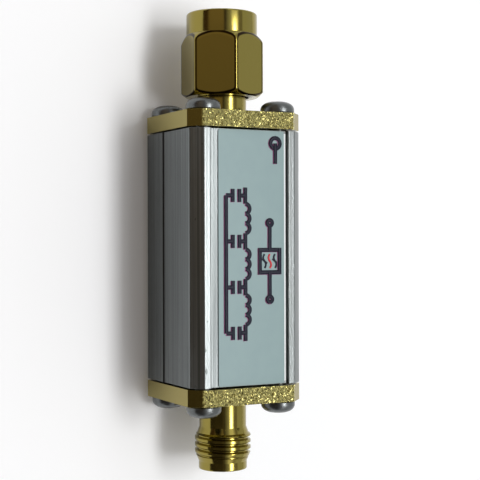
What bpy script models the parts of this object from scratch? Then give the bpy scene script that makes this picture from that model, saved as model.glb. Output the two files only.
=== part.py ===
"""RF bandpass filter in a square aluminium case, with a coaxial plug on one end and a jack on the other.

The filter lies on the edges of its two end flanges. X runs along the coaxial axis from the plug to the
jack, Y runs across the case, and Z is up, through the label. Sizes are real ones, in metres.
"""

import math

import bmesh
import bpy
from mathutils import Matrix, Vector

MM = 0.001

# Case: two extruded half shells that meet at the mid-plane of the circuit board
CASE_SIDE = 13.3 * MM
CASE_LENGTH = 27.3 * MM
CASE_CHAMFER = 1.2 * MM
CASE_WALL = 1.2 * MM
RIB_WIDTH = 0.83 * MM
RECESS_DEPTH = 0.45 * MM
JOINT_GAP = 0.15 * MM
JOINT_CHAMFER = 0.12 * MM
PORT_WALL = 0.7 * MM

# End flanges, milled from the same bar as the connector bodies
FLANGE_OVERHANG = 0.1 * MM
FLANGE_THICKNESS = 1.8 * MM
FLANGE_CHAMFER = 1.5 * MM
FLANGE_EDGE_BREAK = 0.1 * MM
FLANGE_GAP = 0.15 * MM

# Flange screws: M2 pan heads, four at each end
SCREW_INSET = 2.15 * MM
SCREW_LENGTH = 6.0 * MM
SHANK_DIAMETER = 1.9 * MM
SHANK_TIP = 0.3 * MM
HEAD_DIAMETER = 3.7 * MM
HEAD_HEIGHT = 1.25 * MM
HEAD_RIM = 0.4 * MM
HEAD_CROWN = 1.2 * MM
CROSS_SPAN = 1.9 * MM
CROSS_ARM = 0.5 * MM
CROSS_DEPTH = 0.75 * MM
CROSS_TAPER = 0.45
HOLE_CLEARANCE = 0.15 * MM
PORT_CLEARANCE = 0.1 * MM

# Coaxial line, the same in both connectors
LINE_DIAMETER = 4.1 * MM
PIN_DIAMETER = 0.92 * MM
SOCKET_WALL = 0.125 * MM
TAIL_LENGTH = 2.4 * MM
MATING_DEPTH = 1.9 * MM
MATING_CLEARANCE = 0.005 * MM
LINE_CLEARANCE = 0.05 * MM
SEAT_GAP = 0.1 * MM

# Plug: a barrel on the flange, with the outer contact in front of it
OUTER_CONTACT_WALL = 0.195 * MM
BARREL_STEP = 0.405 * MM
PIN_REACH = 2.0 * MM
PIN_POINT = 0.3 * MM
PLUG_EDGE_BREAK = 0.06 * MM

# Jack: a relieved neck, then the threaded end, which narrows to a nose
NOSE_WALL = 0.375 * MM
NOSE_STEP = 0.425 * MM
NOSE_ROUND = 0.15 * MM
NECK_RELIEF = 0.5 * MM
NECK_LENGTH = 3.3 * MM
THREAD_RUN_OUT = 0.75 * MM
JACK_LENGTH = 7.8 * MM
NOSE_LENGTH = 0.9 * MM
JACK_TAPER_LENGTH = 1.0 * MM
JACK_LEAD_IN = 0.05 * MM
SOCKET_DEPTH = 2.4 * MM
SLIT_WIDTH = 0.16 * MM
SLIT_STOP = 0.4 * MM

# Coupling nut, which spins on the plug's barrel
NUT_WALL = 0.9 * MM
NUT_LENGTH = 9.25 * MM
NUT_STANDOFF = 2.05 * MM
NUT_TURN = math.radians(-6.5)
NUT_THREAD_DEPTH = 0.3 * MM
COLLAR_STEP = 0.075 * MM
COLLAR_LENGTH = 2.4 * MM
SHOULDER_LENGTH = 0.75 * MM
NUT_REAR_CUT = 0.65 * MM
NUT_REAR_CUT_LENGTH = 0.45 * MM
NUT_RIM_BREAK = 0.15 * MM
NUT_LEAD_IN = 0.3 * MM
NUT_CLEARANCE = 0.1 * MM
NUT_FRONT_RECESS = 2.6 * MM

# Snap ring that holds the nut on the barrel
RING_SETBACK = 1.9 * MM
RING_THICKNESS = 0.5 * MM
RING_WIDTH = 0.75 * MM
RING_SINK = 0.3 * MM
RING_SLIT = 0.8 * MM
RING_CLEARANCE = 0.15 * MM

# Gasket that seals the mated pair
GASKET_THICKNESS = 0.6 * MM
GASKET_OVERHANG = 0.25 * MM

# Circuit board and the filter's components on it
BOARD_THICKNESS = 1.2 * MM
BOARD_GRIP = 0.45 * MM
BOARD_CLEARANCE = 0.1 * MM
BOARD_END_GAP = 0.3 * MM
COIL_DIAMETER = 3.2 * MM
COIL_WIRE = 0.5 * MM
COIL_PITCH = 0.8 * MM
COIL_LOOPS = 4
COIL_LIFT = 0.3 * MM
COIL_COUNT = 3
CHIP_LENGTH = 2.0 * MM
CHIP_WIDTH = 1.25 * MM
CHIP_HEIGHT = 0.9 * MM
CHIP_WALL_GAP = 0.9 * MM
CHIP_END_GAP = 1.1 * MM

# Label, stuck in the recess nearer to the far rib
LABEL_NEAR_MARGIN = 0.98 * MM
LABEL_FAR_MARGIN = 0.34 * MM
LABEL_END_MARGIN = 0.08 * MM
LABEL_THICKNESS = 0.1 * MM
LABEL_GAP = 0.04 * MM

ROUND_STEPS = 48
SMALL_STEPS = 20
BOSS_STEPS = 10
DOME_STEPS = 4
COIL_STEPS = 10
CUT_OVERRUN = 1.0 * MM

# Places that follow from the sizes
FLANGE_SIDE = CASE_SIDE + 2 * FLANGE_OVERHANG
AXIS_HEIGHT = FLANGE_SIDE / 2
TOTAL_LENGTH = (
    NUT_STANDOFF + NUT_LENGTH + CASE_LENGTH + 2 * (FLANGE_THICKNESS + FLANGE_GAP) + JACK_LENGTH
)
PLUG_FACE_X = -TOTAL_LENGTH / 2 + NUT_LENGTH + NUT_STANDOFF
CASE_MIDDLE_X = PLUG_FACE_X + FLANGE_THICKNESS + FLANGE_GAP + CASE_LENGTH / 2
JACK_FACE_X = TOTAL_LENGTH / 2 - JACK_LENGTH
SCREW_OFFSET = CASE_SIDE / 2 - SCREW_INSET
BOARD_TOP = -PIN_DIAMETER / 2 - LINE_CLEARANCE
JOINT_LEVEL = BOARD_TOP - BOARD_THICKNESS / 2
RECESS_FLOOR = CASE_SIDE / 2 - RECESS_DEPTH
RECESS_HALF = CASE_SIDE / 2 - CASE_CHAMFER - RIB_WIDTH
INNER_HALF = CASE_SIDE / 2 - CASE_WALL
SLOT_HALF = INNER_HALF + BOARD_GRIP
PORT_RADIUS = SHANK_DIAMETER / 2 + PORT_CLEARANCE
BOARD_LENGTH = CASE_LENGTH + 2 * FLANGE_GAP - 2 * BOARD_END_GAP
SOCKET_BORE = PIN_DIAMETER / 2 + LINE_CLEARANCE
CENTRE_RADIUS = SOCKET_BORE + SOCKET_WALL
CENTRE_BORE = CENTRE_RADIUS + LINE_CLEARANCE
LINE_BORE = LINE_DIAMETER / 2 + LINE_CLEARANCE
OUTER_CONTACT_RADIUS = LINE_BORE + OUTER_CONTACT_WALL
BARREL_RADIUS = OUTER_CONTACT_RADIUS + BARREL_STEP
GASKET_RADIUS = BARREL_RADIUS + GASKET_OVERHANG
JACK_BORE = OUTER_CONTACT_RADIUS + MATING_CLEARANCE
NOSE_RADIUS = JACK_BORE + NOSE_WALL
THREAD_RADIUS = NOSE_RADIUS + NOSE_STEP
NECK_RADIUS = THREAD_RADIUS - NECK_RELIEF
NUT_APOTHEM = THREAD_RADIUS + NUT_WALL
COLLAR_RADIUS = NUT_APOTHEM - COLLAR_STEP
RING_INNER = BARREL_RADIUS - RING_SINK
RING_OUTER = RING_INNER + RING_WIDTH
PLUG_REFERENCE = NUT_STANDOFF + NUT_LENGTH - NUT_FRONT_RECESS
PLUG_SHOULDER = PLUG_REFERENCE - MATING_DEPTH - GASKET_THICKNESS - SEAT_GAP
JACK_REFERENCE = JACK_LENGTH - MATING_DEPTH
NUT_BORE = BARREL_RADIUS + NUT_CLEARANCE
RING_MIDDLE = NUT_STANDOFF + RING_SETBACK

# Local Z points along world +X on the jack's side and along -X on the plug's side
TOWARDS_JACK = Matrix.Rotation(math.pi / 2, 4, "Z") @ Matrix.Rotation(math.pi / 2, 4, "X")
TOWARDS_PLUG = Matrix.Rotation(-math.pi / 2, 4, "Z") @ Matrix.Rotation(math.pi / 2, 4, "X")

GOLD = (0.72, 0.58, 0.26)
ALUMINIUM = (0.62, 0.64, 0.66)
DARK_NICKEL = (0.36, 0.37, 0.38)
STEEL = (0.48, 0.48, 0.47)
PTFE = (0.86, 0.86, 0.84)
SILICONE = (0.62, 0.12, 0.08)
FIBREGLASS = (0.06, 0.22, 0.10)
COPPER = (0.72, 0.32, 0.16)
CERAMIC = (0.52, 0.40, 0.28)
PALE_FILM = (0.46, 0.52, 0.54)


def clear_scene():
    for obj in list(bpy.data.objects):
        bpy.data.objects.remove(obj)


def new_collection(name):
    collection = bpy.data.collections.new(name)
    bpy.context.scene.collection.children.link(collection)
    return collection


clear_scene()
PARTS = new_collection("rf_bandpass_filter")
CUTTERS = new_collection("cutters")


def at(x, across=0.0, above=0.0):
    """A point by its X, its place across the case and its height above the coaxial axis."""
    return Matrix.Translation((x, across, AXIS_HEIGHT + above))


def add_object(name, data, place):
    obj = bpy.data.objects.new(name, data)
    obj.matrix_world = place
    CUTTERS.objects.link(obj)
    return obj


def hide_cutter(obj):
    obj.hide_render = True
    obj.display_type = "WIRE"
    return obj


def turned(name, profile, place, steps=ROUND_STEPS, closed=True):
    """Turns (radius, height) points about local Z. The points run down the outer side first."""
    mesh = bpy.data.meshes.new(name)
    count = len(profile)
    edges = [(i, i + 1) for i in range(count - 1)]
    if closed:
        edges.append((count - 1, 0))
    mesh.from_pydata([(radius, 0.0, height) for radius, height in profile], edges, [])
    obj = add_object(name, mesh, place)
    screw = obj.modifiers.new("Turn", "SCREW")
    screw.steps = steps
    screw.render_steps = steps
    screw.use_merge_vertices = True
    screw.merge_threshold = 0.001 * MM
    return obj


def circle_points(across, above, radius, steps=SMALL_STEPS):
    turns = [2 * math.pi * i / steps for i in range(steps)]
    return [(across + radius * math.cos(a), above + radius * math.sin(a)) for a in turns]


def extruded(name, loops, length, place):
    """Extrudes flat outlines along local Z, centred on it. Loops inside the first one are holes."""
    curve = bpy.data.curves.new(name, "CURVE")
    curve.dimensions = "2D"
    curve.fill_mode = "BOTH"
    curve.extrude = length / 2
    for loop in loops:
        spline = curve.splines.new("POLY")
        spline.points.add(len(loop) - 1)
        for point, (x, y) in zip(spline.points, loop):
            point.co = (x, y, 0.0, 1.0)
        spline.use_cyclic_u = True
    return meshed(add_object(name, curve, place))


def meshed(obj):
    """Makes a mesh object of a curve object, with its loose caps welded to its sides."""
    graph = bpy.context.evaluated_depsgraph_get()
    mesh = bpy.data.meshes.new_from_object(obj.evaluated_get(graph))
    shape = bmesh.new()
    shape.from_mesh(mesh)
    bmesh.ops.remove_doubles(shape, verts=shape.verts, dist=0.0001 * MM)
    shape.to_mesh(mesh)
    shape.free()
    name = obj.name
    place = obj.matrix_world.copy()
    bpy.data.objects.remove(obj)
    return add_object(name, mesh, place)


def box(name, size, place):
    mesh = bpy.data.meshes.new(name)
    shape = bmesh.new()
    bmesh.ops.create_cube(shape, size=1.0, matrix=Matrix.Diagonal((*size, 1.0)))
    shape.to_mesh(mesh)
    shape.free()
    return add_object(name, mesh, place)


def hexagonal_bar(name, apothem, length, place):
    mesh = bpy.data.meshes.new(name)
    shape = bmesh.new()
    corner = apothem / math.cos(math.pi / 6)
    bmesh.ops.create_cone(
        shape, cap_ends=True, segments=6, radius1=corner, radius2=corner, depth=length
    )
    shape.to_mesh(mesh)
    shape.free()
    return add_object(name, mesh, place)


def combine(obj, operation, other):
    hide_cutter(other)
    boolean = obj.modifiers.new(other.name, "BOOLEAN")
    boolean.operation = operation
    boolean.solver = "EXACT"
    boolean.object = other


def break_edges(obj, width):
    bevel = obj.modifiers.new("Edge break", "BEVEL")
    bevel.width = width
    bevel.segments = 1
    bevel.limit_method = "ANGLE"
    bevel.angle_limit = math.radians(80)


def finished_mesh(obj):
    """The mesh that the object's modifiers make, shaded smooth on its round faces."""
    graph = bpy.context.evaluated_depsgraph_get()
    mesh = bpy.data.meshes.new_from_object(obj.evaluated_get(graph))
    mesh.name = obj.name
    mesh.shade_smooth()
    mesh.set_sharp_from_angle(angle=math.radians(32))
    return mesh


def add_part(name, mesh, place, colour, roughness, metallic):
    material = bpy.data.materials.new(name + "_finish")
    material.use_nodes = True
    shader = material.node_tree.nodes["Principled BSDF"]
    shader.inputs["Base Color"].default_value = (*colour, 1.0)
    shader.inputs["Roughness"].default_value = roughness
    shader.inputs["Metallic"].default_value = metallic
    part = bpy.data.objects.new(name, mesh)
    PARTS.objects.link(part)
    part.matrix_world = place
    mesh.materials.clear()
    mesh.materials.append(material)
    return part


def finish(draft, colour, roughness, metallic):
    """Replaces a draft object by the finished part of the same name."""
    name = draft.name
    place = draft.matrix_world.copy()
    mesh = finished_mesh(draft)
    bpy.data.objects.remove(draft)
    return add_part(name, mesh, place, colour, roughness, metallic)


def boss_arc(side, above, start, end):
    """Points round a screw port's wall, from one angle to another, on the side of Y that is asked for."""
    radius = PORT_RADIUS + PORT_WALL
    points = []
    for i in range(BOSS_STEPS + 1):
        angle = start + (end - start) * i / BOSS_STEPS
        across = SCREW_OFFSET + radius * math.cos(angle)
        points.append((side * across, above + radius * math.sin(angle)))
    return points


def half_shell_loops(up, ceiling, recessed):
    """The end-on outline of a half shell: up is 1 for the upper and -1 for the lower one.

    The inner side steps out at the board's slot, then runs round the wall of each screw port.
    """
    half = CASE_SIDE / 2
    joint = JOINT_LEVEL + up * JOINT_GAP / 2
    slot = JOINT_LEVEL + up * (BOARD_THICKNESS / 2 + BOARD_CLEARANCE)
    port = up * SCREW_OFFSET
    boss = PORT_RADIUS + PORT_WALL
    wall_angle = math.acos((INNER_HALF - SCREW_OFFSET) / boss)
    ceiling_angle = math.pi - math.asin((ceiling - SCREW_OFFSET) / boss)
    arc = boss_arc(1, port, -up * wall_angle, -up * (2 * math.pi - ceiling_angle))
    outer = [
        (half - JOINT_CHAMFER, joint),
        (half, joint + up * JOINT_CHAMFER),
        (half, up * (half - CASE_CHAMFER)),
        (half - CASE_CHAMFER, up * half),
    ]
    if recessed:
        outer += [(RECESS_HALF, half), (RECESS_HALF, RECESS_FLOOR)]
    inner = [(SLOT_HALF, joint), (SLOT_HALF, slot), (INNER_HALF, slot)] + arc
    mirrored_outer = [(-across, above) for across, above in reversed(outer)]
    mirrored_inner = [(-across, above) for across, above in inner]
    outline = outer + mirrored_outer + mirrored_inner + list(reversed(inner))
    holes = [circle_points(side * SCREW_OFFSET, port, PORT_RADIUS) for side in (1, -1)]
    return [outline] + holes


def build_case():
    place = at(CASE_MIDDLE_X) @ TOWARDS_JACK
    upper = half_shell_loops(1, RECESS_FLOOR - CASE_WALL, True)
    lower = half_shell_loops(-1, INNER_HALF, False)
    for name, loops in (("upper_shell", upper), ("lower_shell", lower)):
        finish(extruded(name, loops, CASE_LENGTH, place), ALUMINIUM, 0.35, 1.0)


def flange_plate(name, place):
    """A square plate with chamfered corners and a clearance hole for each screw."""
    half = FLANGE_SIDE / 2
    cut = half - FLANGE_CHAMFER
    outline = [
        (half, -cut), (half, cut), (cut, half), (-cut, half),
        (-half, cut), (-half, -cut), (-cut, -half), (cut, -half),
    ]
    radius = SHANK_DIAMETER / 2 + HOLE_CLEARANCE
    corners = [(y, z) for y in (SCREW_OFFSET, -SCREW_OFFSET) for z in (SCREW_OFFSET, -SCREW_OFFSET)]
    holes = [circle_points(y, z, radius) for y, z in corners]
    middle = place @ Matrix.Translation((0, 0, -FLANGE_THICKNESS / 2))
    plate = extruded(name, [outline] + holes, FLANGE_THICKNESS, middle)
    break_edges(plate, FLANGE_EDGE_BREAK)
    return plate


def build_plug():
    place = at(PLUG_FACE_X) @ TOWARDS_PLUG
    barrel = BARREL_RADIUS
    contact = OUTER_CONTACT_RADIUS
    groove = RING_INNER - RING_CLEARANCE
    groove_front = RING_MIDDLE + RING_THICKNESS / 2 + RING_CLEARANCE
    groove_rear = RING_MIDDLE - RING_THICKNESS / 2 - RING_CLEARANCE
    rear = -FLANGE_THICKNESS
    core = turned(
        "plug_barrel_core",
        [
            (0, PLUG_REFERENCE),
            (contact - PLUG_EDGE_BREAK, PLUG_REFERENCE),
            (contact, PLUG_REFERENCE - PLUG_EDGE_BREAK),
            (contact, PLUG_SHOULDER),
            (barrel - PLUG_EDGE_BREAK, PLUG_SHOULDER),
            (barrel, PLUG_SHOULDER - PLUG_EDGE_BREAK),
            (barrel, groove_front),
            (groove, groove_front),
            (groove, groove_rear),
            (barrel, groove_rear),
            (barrel, rear / 2),
            (0, rear / 2),
        ],
        place,
        closed=False,
    )
    bore = turned(
        "plug_line_bore",
        [
            (0, PLUG_REFERENCE + CUT_OVERRUN),
            (LINE_BORE, PLUG_REFERENCE + CUT_OVERRUN),
            (LINE_BORE, rear - CUT_OVERRUN),
            (0, rear - CUT_OVERRUN),
        ],
        place,
        closed=False,
    )
    body = flange_plate("plug_body", place)
    combine(body, "UNION", core)
    combine(body, "DIFFERENCE", bore)
    finish(body, GOLD, 0.22, 1.0)

    dielectric = turned(
        "plug_dielectric",
        [
            (LINE_DIAMETER / 2, PLUG_REFERENCE),
            (LINE_DIAMETER / 2, rear),
            (CENTRE_BORE, rear),
            (CENTRE_BORE, PLUG_REFERENCE),
        ],
        place,
    )
    finish(dielectric, PTFE, 0.45, 0.0)

    pin = PIN_DIAMETER / 2
    centre_pin = turned(
        "plug_centre_pin",
        [
            (0, PLUG_REFERENCE + PIN_REACH),
            (pin / 3, PLUG_REFERENCE + PIN_REACH),
            (pin, PLUG_REFERENCE + PIN_REACH - PIN_POINT),
            (pin, PLUG_REFERENCE),
            (CENTRE_RADIUS, PLUG_REFERENCE),
            (CENTRE_RADIUS, rear),
            (pin, rear),
            (pin, rear - TAIL_LENGTH),
            (0, rear - TAIL_LENGTH),
        ],
        place,
        steps=SMALL_STEPS,
        closed=False,
    )
    finish(centre_pin, GOLD, 0.22, 1.0)

    gasket_rear = PLUG_SHOULDER + SEAT_GAP
    gasket = turned(
        "plug_gasket",
        [
            (GASKET_RADIUS, gasket_rear + GASKET_THICKNESS),
            (GASKET_RADIUS, gasket_rear),
            (contact + SEAT_GAP, gasket_rear),
            (contact + SEAT_GAP, gasket_rear + GASKET_THICKNESS),
        ],
        place,
    )
    finish(gasket, SILICONE, 0.6, 0.0)

    snap_ring = turned(
        "nut_snap_ring",
        [
            (RING_OUTER, RING_MIDDLE + RING_THICKNESS / 2),
            (RING_OUTER, RING_MIDDLE - RING_THICKNESS / 2),
            (RING_INNER, RING_MIDDLE - RING_THICKNESS / 2),
            (RING_INNER, RING_MIDDLE + RING_THICKNESS / 2),
        ],
        place,
    )
    slit_place = place @ Matrix.Translation((0, RING_OUTER, RING_MIDDLE))
    slit_size = (RING_SLIT, RING_OUTER, RING_THICKNESS + 2 * CUT_OVERRUN)
    combine(snap_ring, "DIFFERENCE", box("snap_ring_slit", slit_size, slit_place))
    finish(snap_ring, STEEL, 0.35, 1.0)


def build_coupling_nut():
    """A hexagonal bar with a turned collar, undercut inside for the snap ring and for the gasket."""
    front = NUT_LENGTH
    corner = NUT_APOTHEM / math.cos(math.pi / 6) / math.cos(math.pi / ROUND_STEPS)
    collar = COLLAR_RADIUS
    shoulder = front - COLLAR_LENGTH
    ring_groove = RING_OUTER + NUT_CLEARANCE
    ring_front = RING_SETBACK + RING_THICKNESS / 2 + NUT_CLEARANCE
    ring_rear = RING_SETBACK - RING_THICKNESS / 2 - NUT_CLEARANCE
    gasket_rear = PLUG_SHOULDER - NUT_STANDOFF - NUT_CLEARANCE
    gasket_front = gasket_rear + SEAT_GAP + GASKET_THICKNESS + 2 * NUT_CLEARANCE
    gasket_groove = GASKET_RADIUS + NUT_CLEARANCE
    thread = THREAD_RADIUS - NUT_THREAD_DEPTH
    axis = bpy.data.objects.new("coupling_nut_axis", None)
    PARTS.objects.link(axis)
    axis.matrix_world = (
        at(PLUG_FACE_X - NUT_STANDOFF) @ TOWARDS_PLUG @ Matrix.Rotation(NUT_TURN, 4, "Z")
    )
    nut = turned(
        "coupling_nut",
        [
            (collar - NUT_RIM_BREAK, front),
            (collar, front - NUT_RIM_BREAK),
            (collar, shoulder),
            (corner, shoulder - SHOULDER_LENGTH),
            (corner, NUT_REAR_CUT_LENGTH),
            (corner - NUT_REAR_CUT, 0),
            (NUT_BORE + NUT_RIM_BREAK, 0),
            (NUT_BORE, NUT_RIM_BREAK),
            (NUT_BORE, ring_rear),
            (ring_groove, ring_rear),
            (ring_groove, ring_front),
            (NUT_BORE, ring_front),
            (NUT_BORE, gasket_rear),
            (gasket_groove, gasket_rear),
            (gasket_groove, gasket_front),
            (thread, gasket_front + gasket_groove - thread),
            (thread, front - NUT_LEAD_IN),
            (thread + NUT_LEAD_IN, front),
        ],
        axis.matrix_world,
    )
    bar_middle = axis.matrix_world @ Matrix.Translation((0, 0, NUT_LENGTH / 2))
    bar_length = NUT_LENGTH + 2 * CUT_OVERRUN
    combine(nut, "INTERSECT", hexagonal_bar("nut_hexagon", NUT_APOTHEM, bar_length, bar_middle))
    part = finish(nut, GOLD, 0.2, 1.0)
    place = part.matrix_world.copy()
    part.parent = axis
    part.matrix_world = place


def build_jack():
    place = at(JACK_FACE_X) @ TOWARDS_JACK
    rear = -FLANGE_THICKNESS
    core = turned(
        "jack_barrel_core",
        [
            (0, JACK_LENGTH),
            (NOSE_RADIUS - NOSE_ROUND, JACK_LENGTH),
            (NOSE_RADIUS, JACK_LENGTH - NOSE_ROUND),
            (NOSE_RADIUS, JACK_LENGTH - NOSE_LENGTH),
            (THREAD_RADIUS, JACK_LENGTH - NOSE_LENGTH - JACK_TAPER_LENGTH),
            (THREAD_RADIUS, NECK_LENGTH + THREAD_RUN_OUT),
            (NECK_RADIUS, NECK_LENGTH),
            (NECK_RADIUS, rear / 2),
            (0, rear / 2),
        ],
        place,
        closed=False,
    )
    hollow = turned(
        "jack_line_bore",
        [
            (0, JACK_LENGTH + CUT_OVERRUN),
            (JACK_BORE + JACK_LEAD_IN + CUT_OVERRUN, JACK_LENGTH + CUT_OVERRUN),
            (JACK_BORE, JACK_LENGTH - JACK_LEAD_IN),
            (JACK_BORE, JACK_REFERENCE),
            (LINE_BORE, JACK_REFERENCE),
            (LINE_BORE, rear - CUT_OVERRUN),
            (0, rear - CUT_OVERRUN),
        ],
        place,
        closed=False,
    )
    body = flange_plate("jack_body", place)
    combine(body, "UNION", core)
    combine(body, "DIFFERENCE", hollow)
    finish(body, GOLD, 0.22, 1.0)

    dielectric = turned(
        "jack_dielectric",
        [
            (LINE_DIAMETER / 2, JACK_REFERENCE),
            (LINE_DIAMETER / 2, rear),
            (CENTRE_BORE, rear),
            (CENTRE_BORE, JACK_REFERENCE),
        ],
        place,
    )
    finish(dielectric, PTFE, 0.45, 0.0)

    contact = turned(
        "jack_centre_contact",
        [
            (CENTRE_RADIUS, JACK_REFERENCE),
            (CENTRE_RADIUS, rear),
            (PIN_DIAMETER / 2, rear),
            (PIN_DIAMETER / 2, rear - TAIL_LENGTH),
            (0, rear - TAIL_LENGTH),
            (0, JACK_REFERENCE - SOCKET_DEPTH),
            (SOCKET_BORE, JACK_REFERENCE - SOCKET_DEPTH),
            (SOCKET_BORE, JACK_REFERENCE),
        ],
        place,
        steps=SMALL_STEPS,
    )
    slit_length = SOCKET_DEPTH - SLIT_STOP + CUT_OVERRUN
    slit_middle = JACK_REFERENCE + CUT_OVERRUN - slit_length / 2
    slit_size = (SLIT_WIDTH, 4 * CENTRE_RADIUS, slit_length)
    for number in (1, 2):
        turn = Matrix.Rotation(number * math.pi / 2, 4, "Z")
        slit_place = place @ Matrix.Translation((0, 0, slit_middle)) @ turn
        combine(contact, "DIFFERENCE", box(f"contact_slit_{number}", slit_size, slit_place))
    finish(contact, GOLD, 0.22, 1.0)


def screw_mesh():
    """An M2 pan head screw with a tapered cross recess. Its head stands on local Z = 0."""
    head = HEAD_DIAMETER / 2
    crown = HEAD_CROWN / 2
    shank = SHANK_DIAMETER / 2
    dome = []
    for i in range(DOME_STEPS + 1):
        angle = math.pi / 2 * (1 - i / DOME_STEPS)
        radius = crown + (head - crown) * math.cos(angle)
        height = HEAD_RIM + (HEAD_HEIGHT - HEAD_RIM) * math.sin(angle)
        dome.append((radius, height))
    profile = [(0, HEAD_HEIGHT)] + dome
    profile += [
        (head, 0),
        (shank, 0),
        (shank, SHANK_TIP - SCREW_LENGTH),
        (shank - SHANK_TIP, -SCREW_LENGTH),
        (0, -SCREW_LENGTH),
    ]
    screw = turned("pan_head_screw", profile, Matrix(), steps=SMALL_STEPS, closed=False)
    half_span = CROSS_SPAN / 2
    half_arm = CROSS_ARM / 2
    quarter = [(half_arm, half_arm), (half_span, half_arm), (half_span, -half_arm)]
    cross = []
    for turn in range(4):
        rotation = Matrix.Rotation(-turn * math.pi / 2, 2)
        cross += [tuple(rotation @ Vector(point)) for point in quarter]
    depth = 2 * CROSS_DEPTH
    recess = extruded("cross_recess", [cross], depth, Matrix.Translation((0, 0, HEAD_HEIGHT)))
    for vertex in recess.data.vertices:
        if vertex.co.z < 0:
            vertex.co.x *= CROSS_TAPER
            vertex.co.y *= CROSS_TAPER
    combine(screw, "DIFFERENCE", recess)
    mesh = finished_mesh(screw)
    bpy.data.objects.remove(screw)
    return mesh


def build_screws():
    mesh = screw_mesh()
    corners = [(1, 1), (-1, 1), (-1, -1), (1, -1)]
    ends = (
        ("plug_screw", PLUG_FACE_X - SEAT_GAP, TOWARDS_PLUG),
        ("jack_screw", JACK_FACE_X + SEAT_GAP, TOWARDS_JACK),
    )
    for name, face, direction in ends:
        for number, (across, above) in enumerate(corners, start=1):
            place = at(face, across * SCREW_OFFSET, above * SCREW_OFFSET) @ direction
            add_part(f"{name}_{number}", mesh.copy(), place, DARK_NICKEL, 0.25, 1.0)


def build_board():
    size = (BOARD_LENGTH, 2 * (SLOT_HALF - BOARD_CLEARANCE), BOARD_THICKNESS)
    finish(box("circuit_board", size, at(CASE_MIDDLE_X, 0, JOINT_LEVEL)), FIBREGLASS, 0.4, 0.0)


def station(index):
    """Places along the board, evenly spaced: chips at the even ones and coils between them."""
    first_chip = CHIP_END_GAP + CHIP_LENGTH / 2
    step = (BOARD_LENGTH - 2 * first_chip) / (2 * COIL_COUNT)
    return CASE_MIDDLE_X - BOARD_LENGTH / 2 + first_chip + index * step


def coil_points():
    """A helix about local X whose ends run straight down to the board, tangent to the last turns."""
    radius = COIL_DIAMETER / 2
    turns = COIL_LOOPS + 0.5
    length = COIL_PITCH * turns
    middle = BOARD_TOP + COIL_LIFT + COIL_WIRE / 2 + radius
    foot = BOARD_TOP + SEAT_GAP
    steps = round(COIL_STEPS * turns)
    points = [(-length / 2, radius, foot)]
    for i in range(steps + 1):
        angle = 2 * math.pi * turns * i / steps
        along = length * (i / steps - 0.5)
        points.append((along, radius * math.cos(angle), middle + radius * math.sin(angle)))
    points.append((length / 2, -radius, foot))
    return points


def build_coils():
    for number in range(1, COIL_COUNT + 1):
        name = f"coil_{number}"
        curve = bpy.data.curves.new(name, "CURVE")
        curve.dimensions = "3D"
        curve.bevel_depth = COIL_WIRE / 2
        curve.bevel_resolution = 2
        curve.use_fill_caps = True
        spline = curve.splines.new("POLY")
        points = coil_points()
        spline.points.add(len(points) - 1)
        for point, place in zip(spline.points, points):
            point.co = (*place, 1.0)
        coil = add_object(name, curve, at(station(2 * number - 1)))
        finish(meshed(coil), COPPER, 0.3, 1.0)


def build_chips():
    """Chip capacitors: a full row along one wall, and one across from each inner chip."""
    lift = BOARD_TOP + SEAT_GAP + CHIP_HEIGHT / 2
    row = INNER_HALF - CHIP_WALL_GAP - CHIP_WIDTH / 2
    stations = [2 * i for i in range(COIL_COUNT + 1)]
    places = [(station(i), row) for i in stations] + [(station(i), -row) for i in stations[1:-1]]
    for number, (x, across) in enumerate(places, start=1):
        size = (CHIP_LENGTH, CHIP_WIDTH, CHIP_HEIGHT)
        chip = box(f"chip_capacitor_{number}", size, at(x, across, lift))
        finish(chip, CERAMIC, 0.5, 0.0)


def build_label():
    above = RECESS_FLOOR + LABEL_GAP + LABEL_THICKNESS / 2
    width = 2 * RECESS_HALF - LABEL_NEAR_MARGIN - LABEL_FAR_MARGIN
    across = (LABEL_NEAR_MARGIN - LABEL_FAR_MARGIN) / 2
    size = (CASE_LENGTH - 2 * LABEL_END_MARGIN, width, LABEL_THICKNESS)
    label = box("label", size, at(CASE_MIDDLE_X, across, above))
    finish(label, PALE_FILM, 0.35, 0.0)


build_case()
build_plug()
build_coupling_nut()
build_jack()
build_screws()
build_board()
build_coils()
build_chips()
build_label()
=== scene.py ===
# %% [markdown]
# # An in-line RF bandpass filter
#
# The real object is a square aluminium case, two gold-plated flanges with a coaxial connector on each,
# and a film label in a recess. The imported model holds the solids, their places and the one joint, the
# spinning coupling nut. This script gives them their looks: threads, screws, print and the finish of
# every surface. A piece that shows more than the solids do is built here and replaces its solid.

# %% Load the model
import math

import bmesh
import bpy
from mathutils import Matrix, Vector


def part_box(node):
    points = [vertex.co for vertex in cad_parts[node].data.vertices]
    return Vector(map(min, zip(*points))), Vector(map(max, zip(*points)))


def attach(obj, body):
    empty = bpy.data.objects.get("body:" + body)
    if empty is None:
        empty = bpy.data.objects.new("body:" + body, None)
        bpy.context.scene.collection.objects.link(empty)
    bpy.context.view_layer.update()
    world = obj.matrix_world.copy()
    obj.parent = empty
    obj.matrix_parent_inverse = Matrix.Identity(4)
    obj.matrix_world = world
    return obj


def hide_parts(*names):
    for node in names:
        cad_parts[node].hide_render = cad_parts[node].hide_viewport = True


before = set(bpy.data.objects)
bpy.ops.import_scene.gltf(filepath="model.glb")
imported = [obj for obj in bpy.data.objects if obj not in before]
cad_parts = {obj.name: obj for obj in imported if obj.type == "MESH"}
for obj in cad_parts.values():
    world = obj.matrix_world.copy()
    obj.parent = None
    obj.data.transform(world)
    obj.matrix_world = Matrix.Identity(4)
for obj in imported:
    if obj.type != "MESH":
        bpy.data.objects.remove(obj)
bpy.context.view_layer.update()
MM = 0.001

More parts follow.
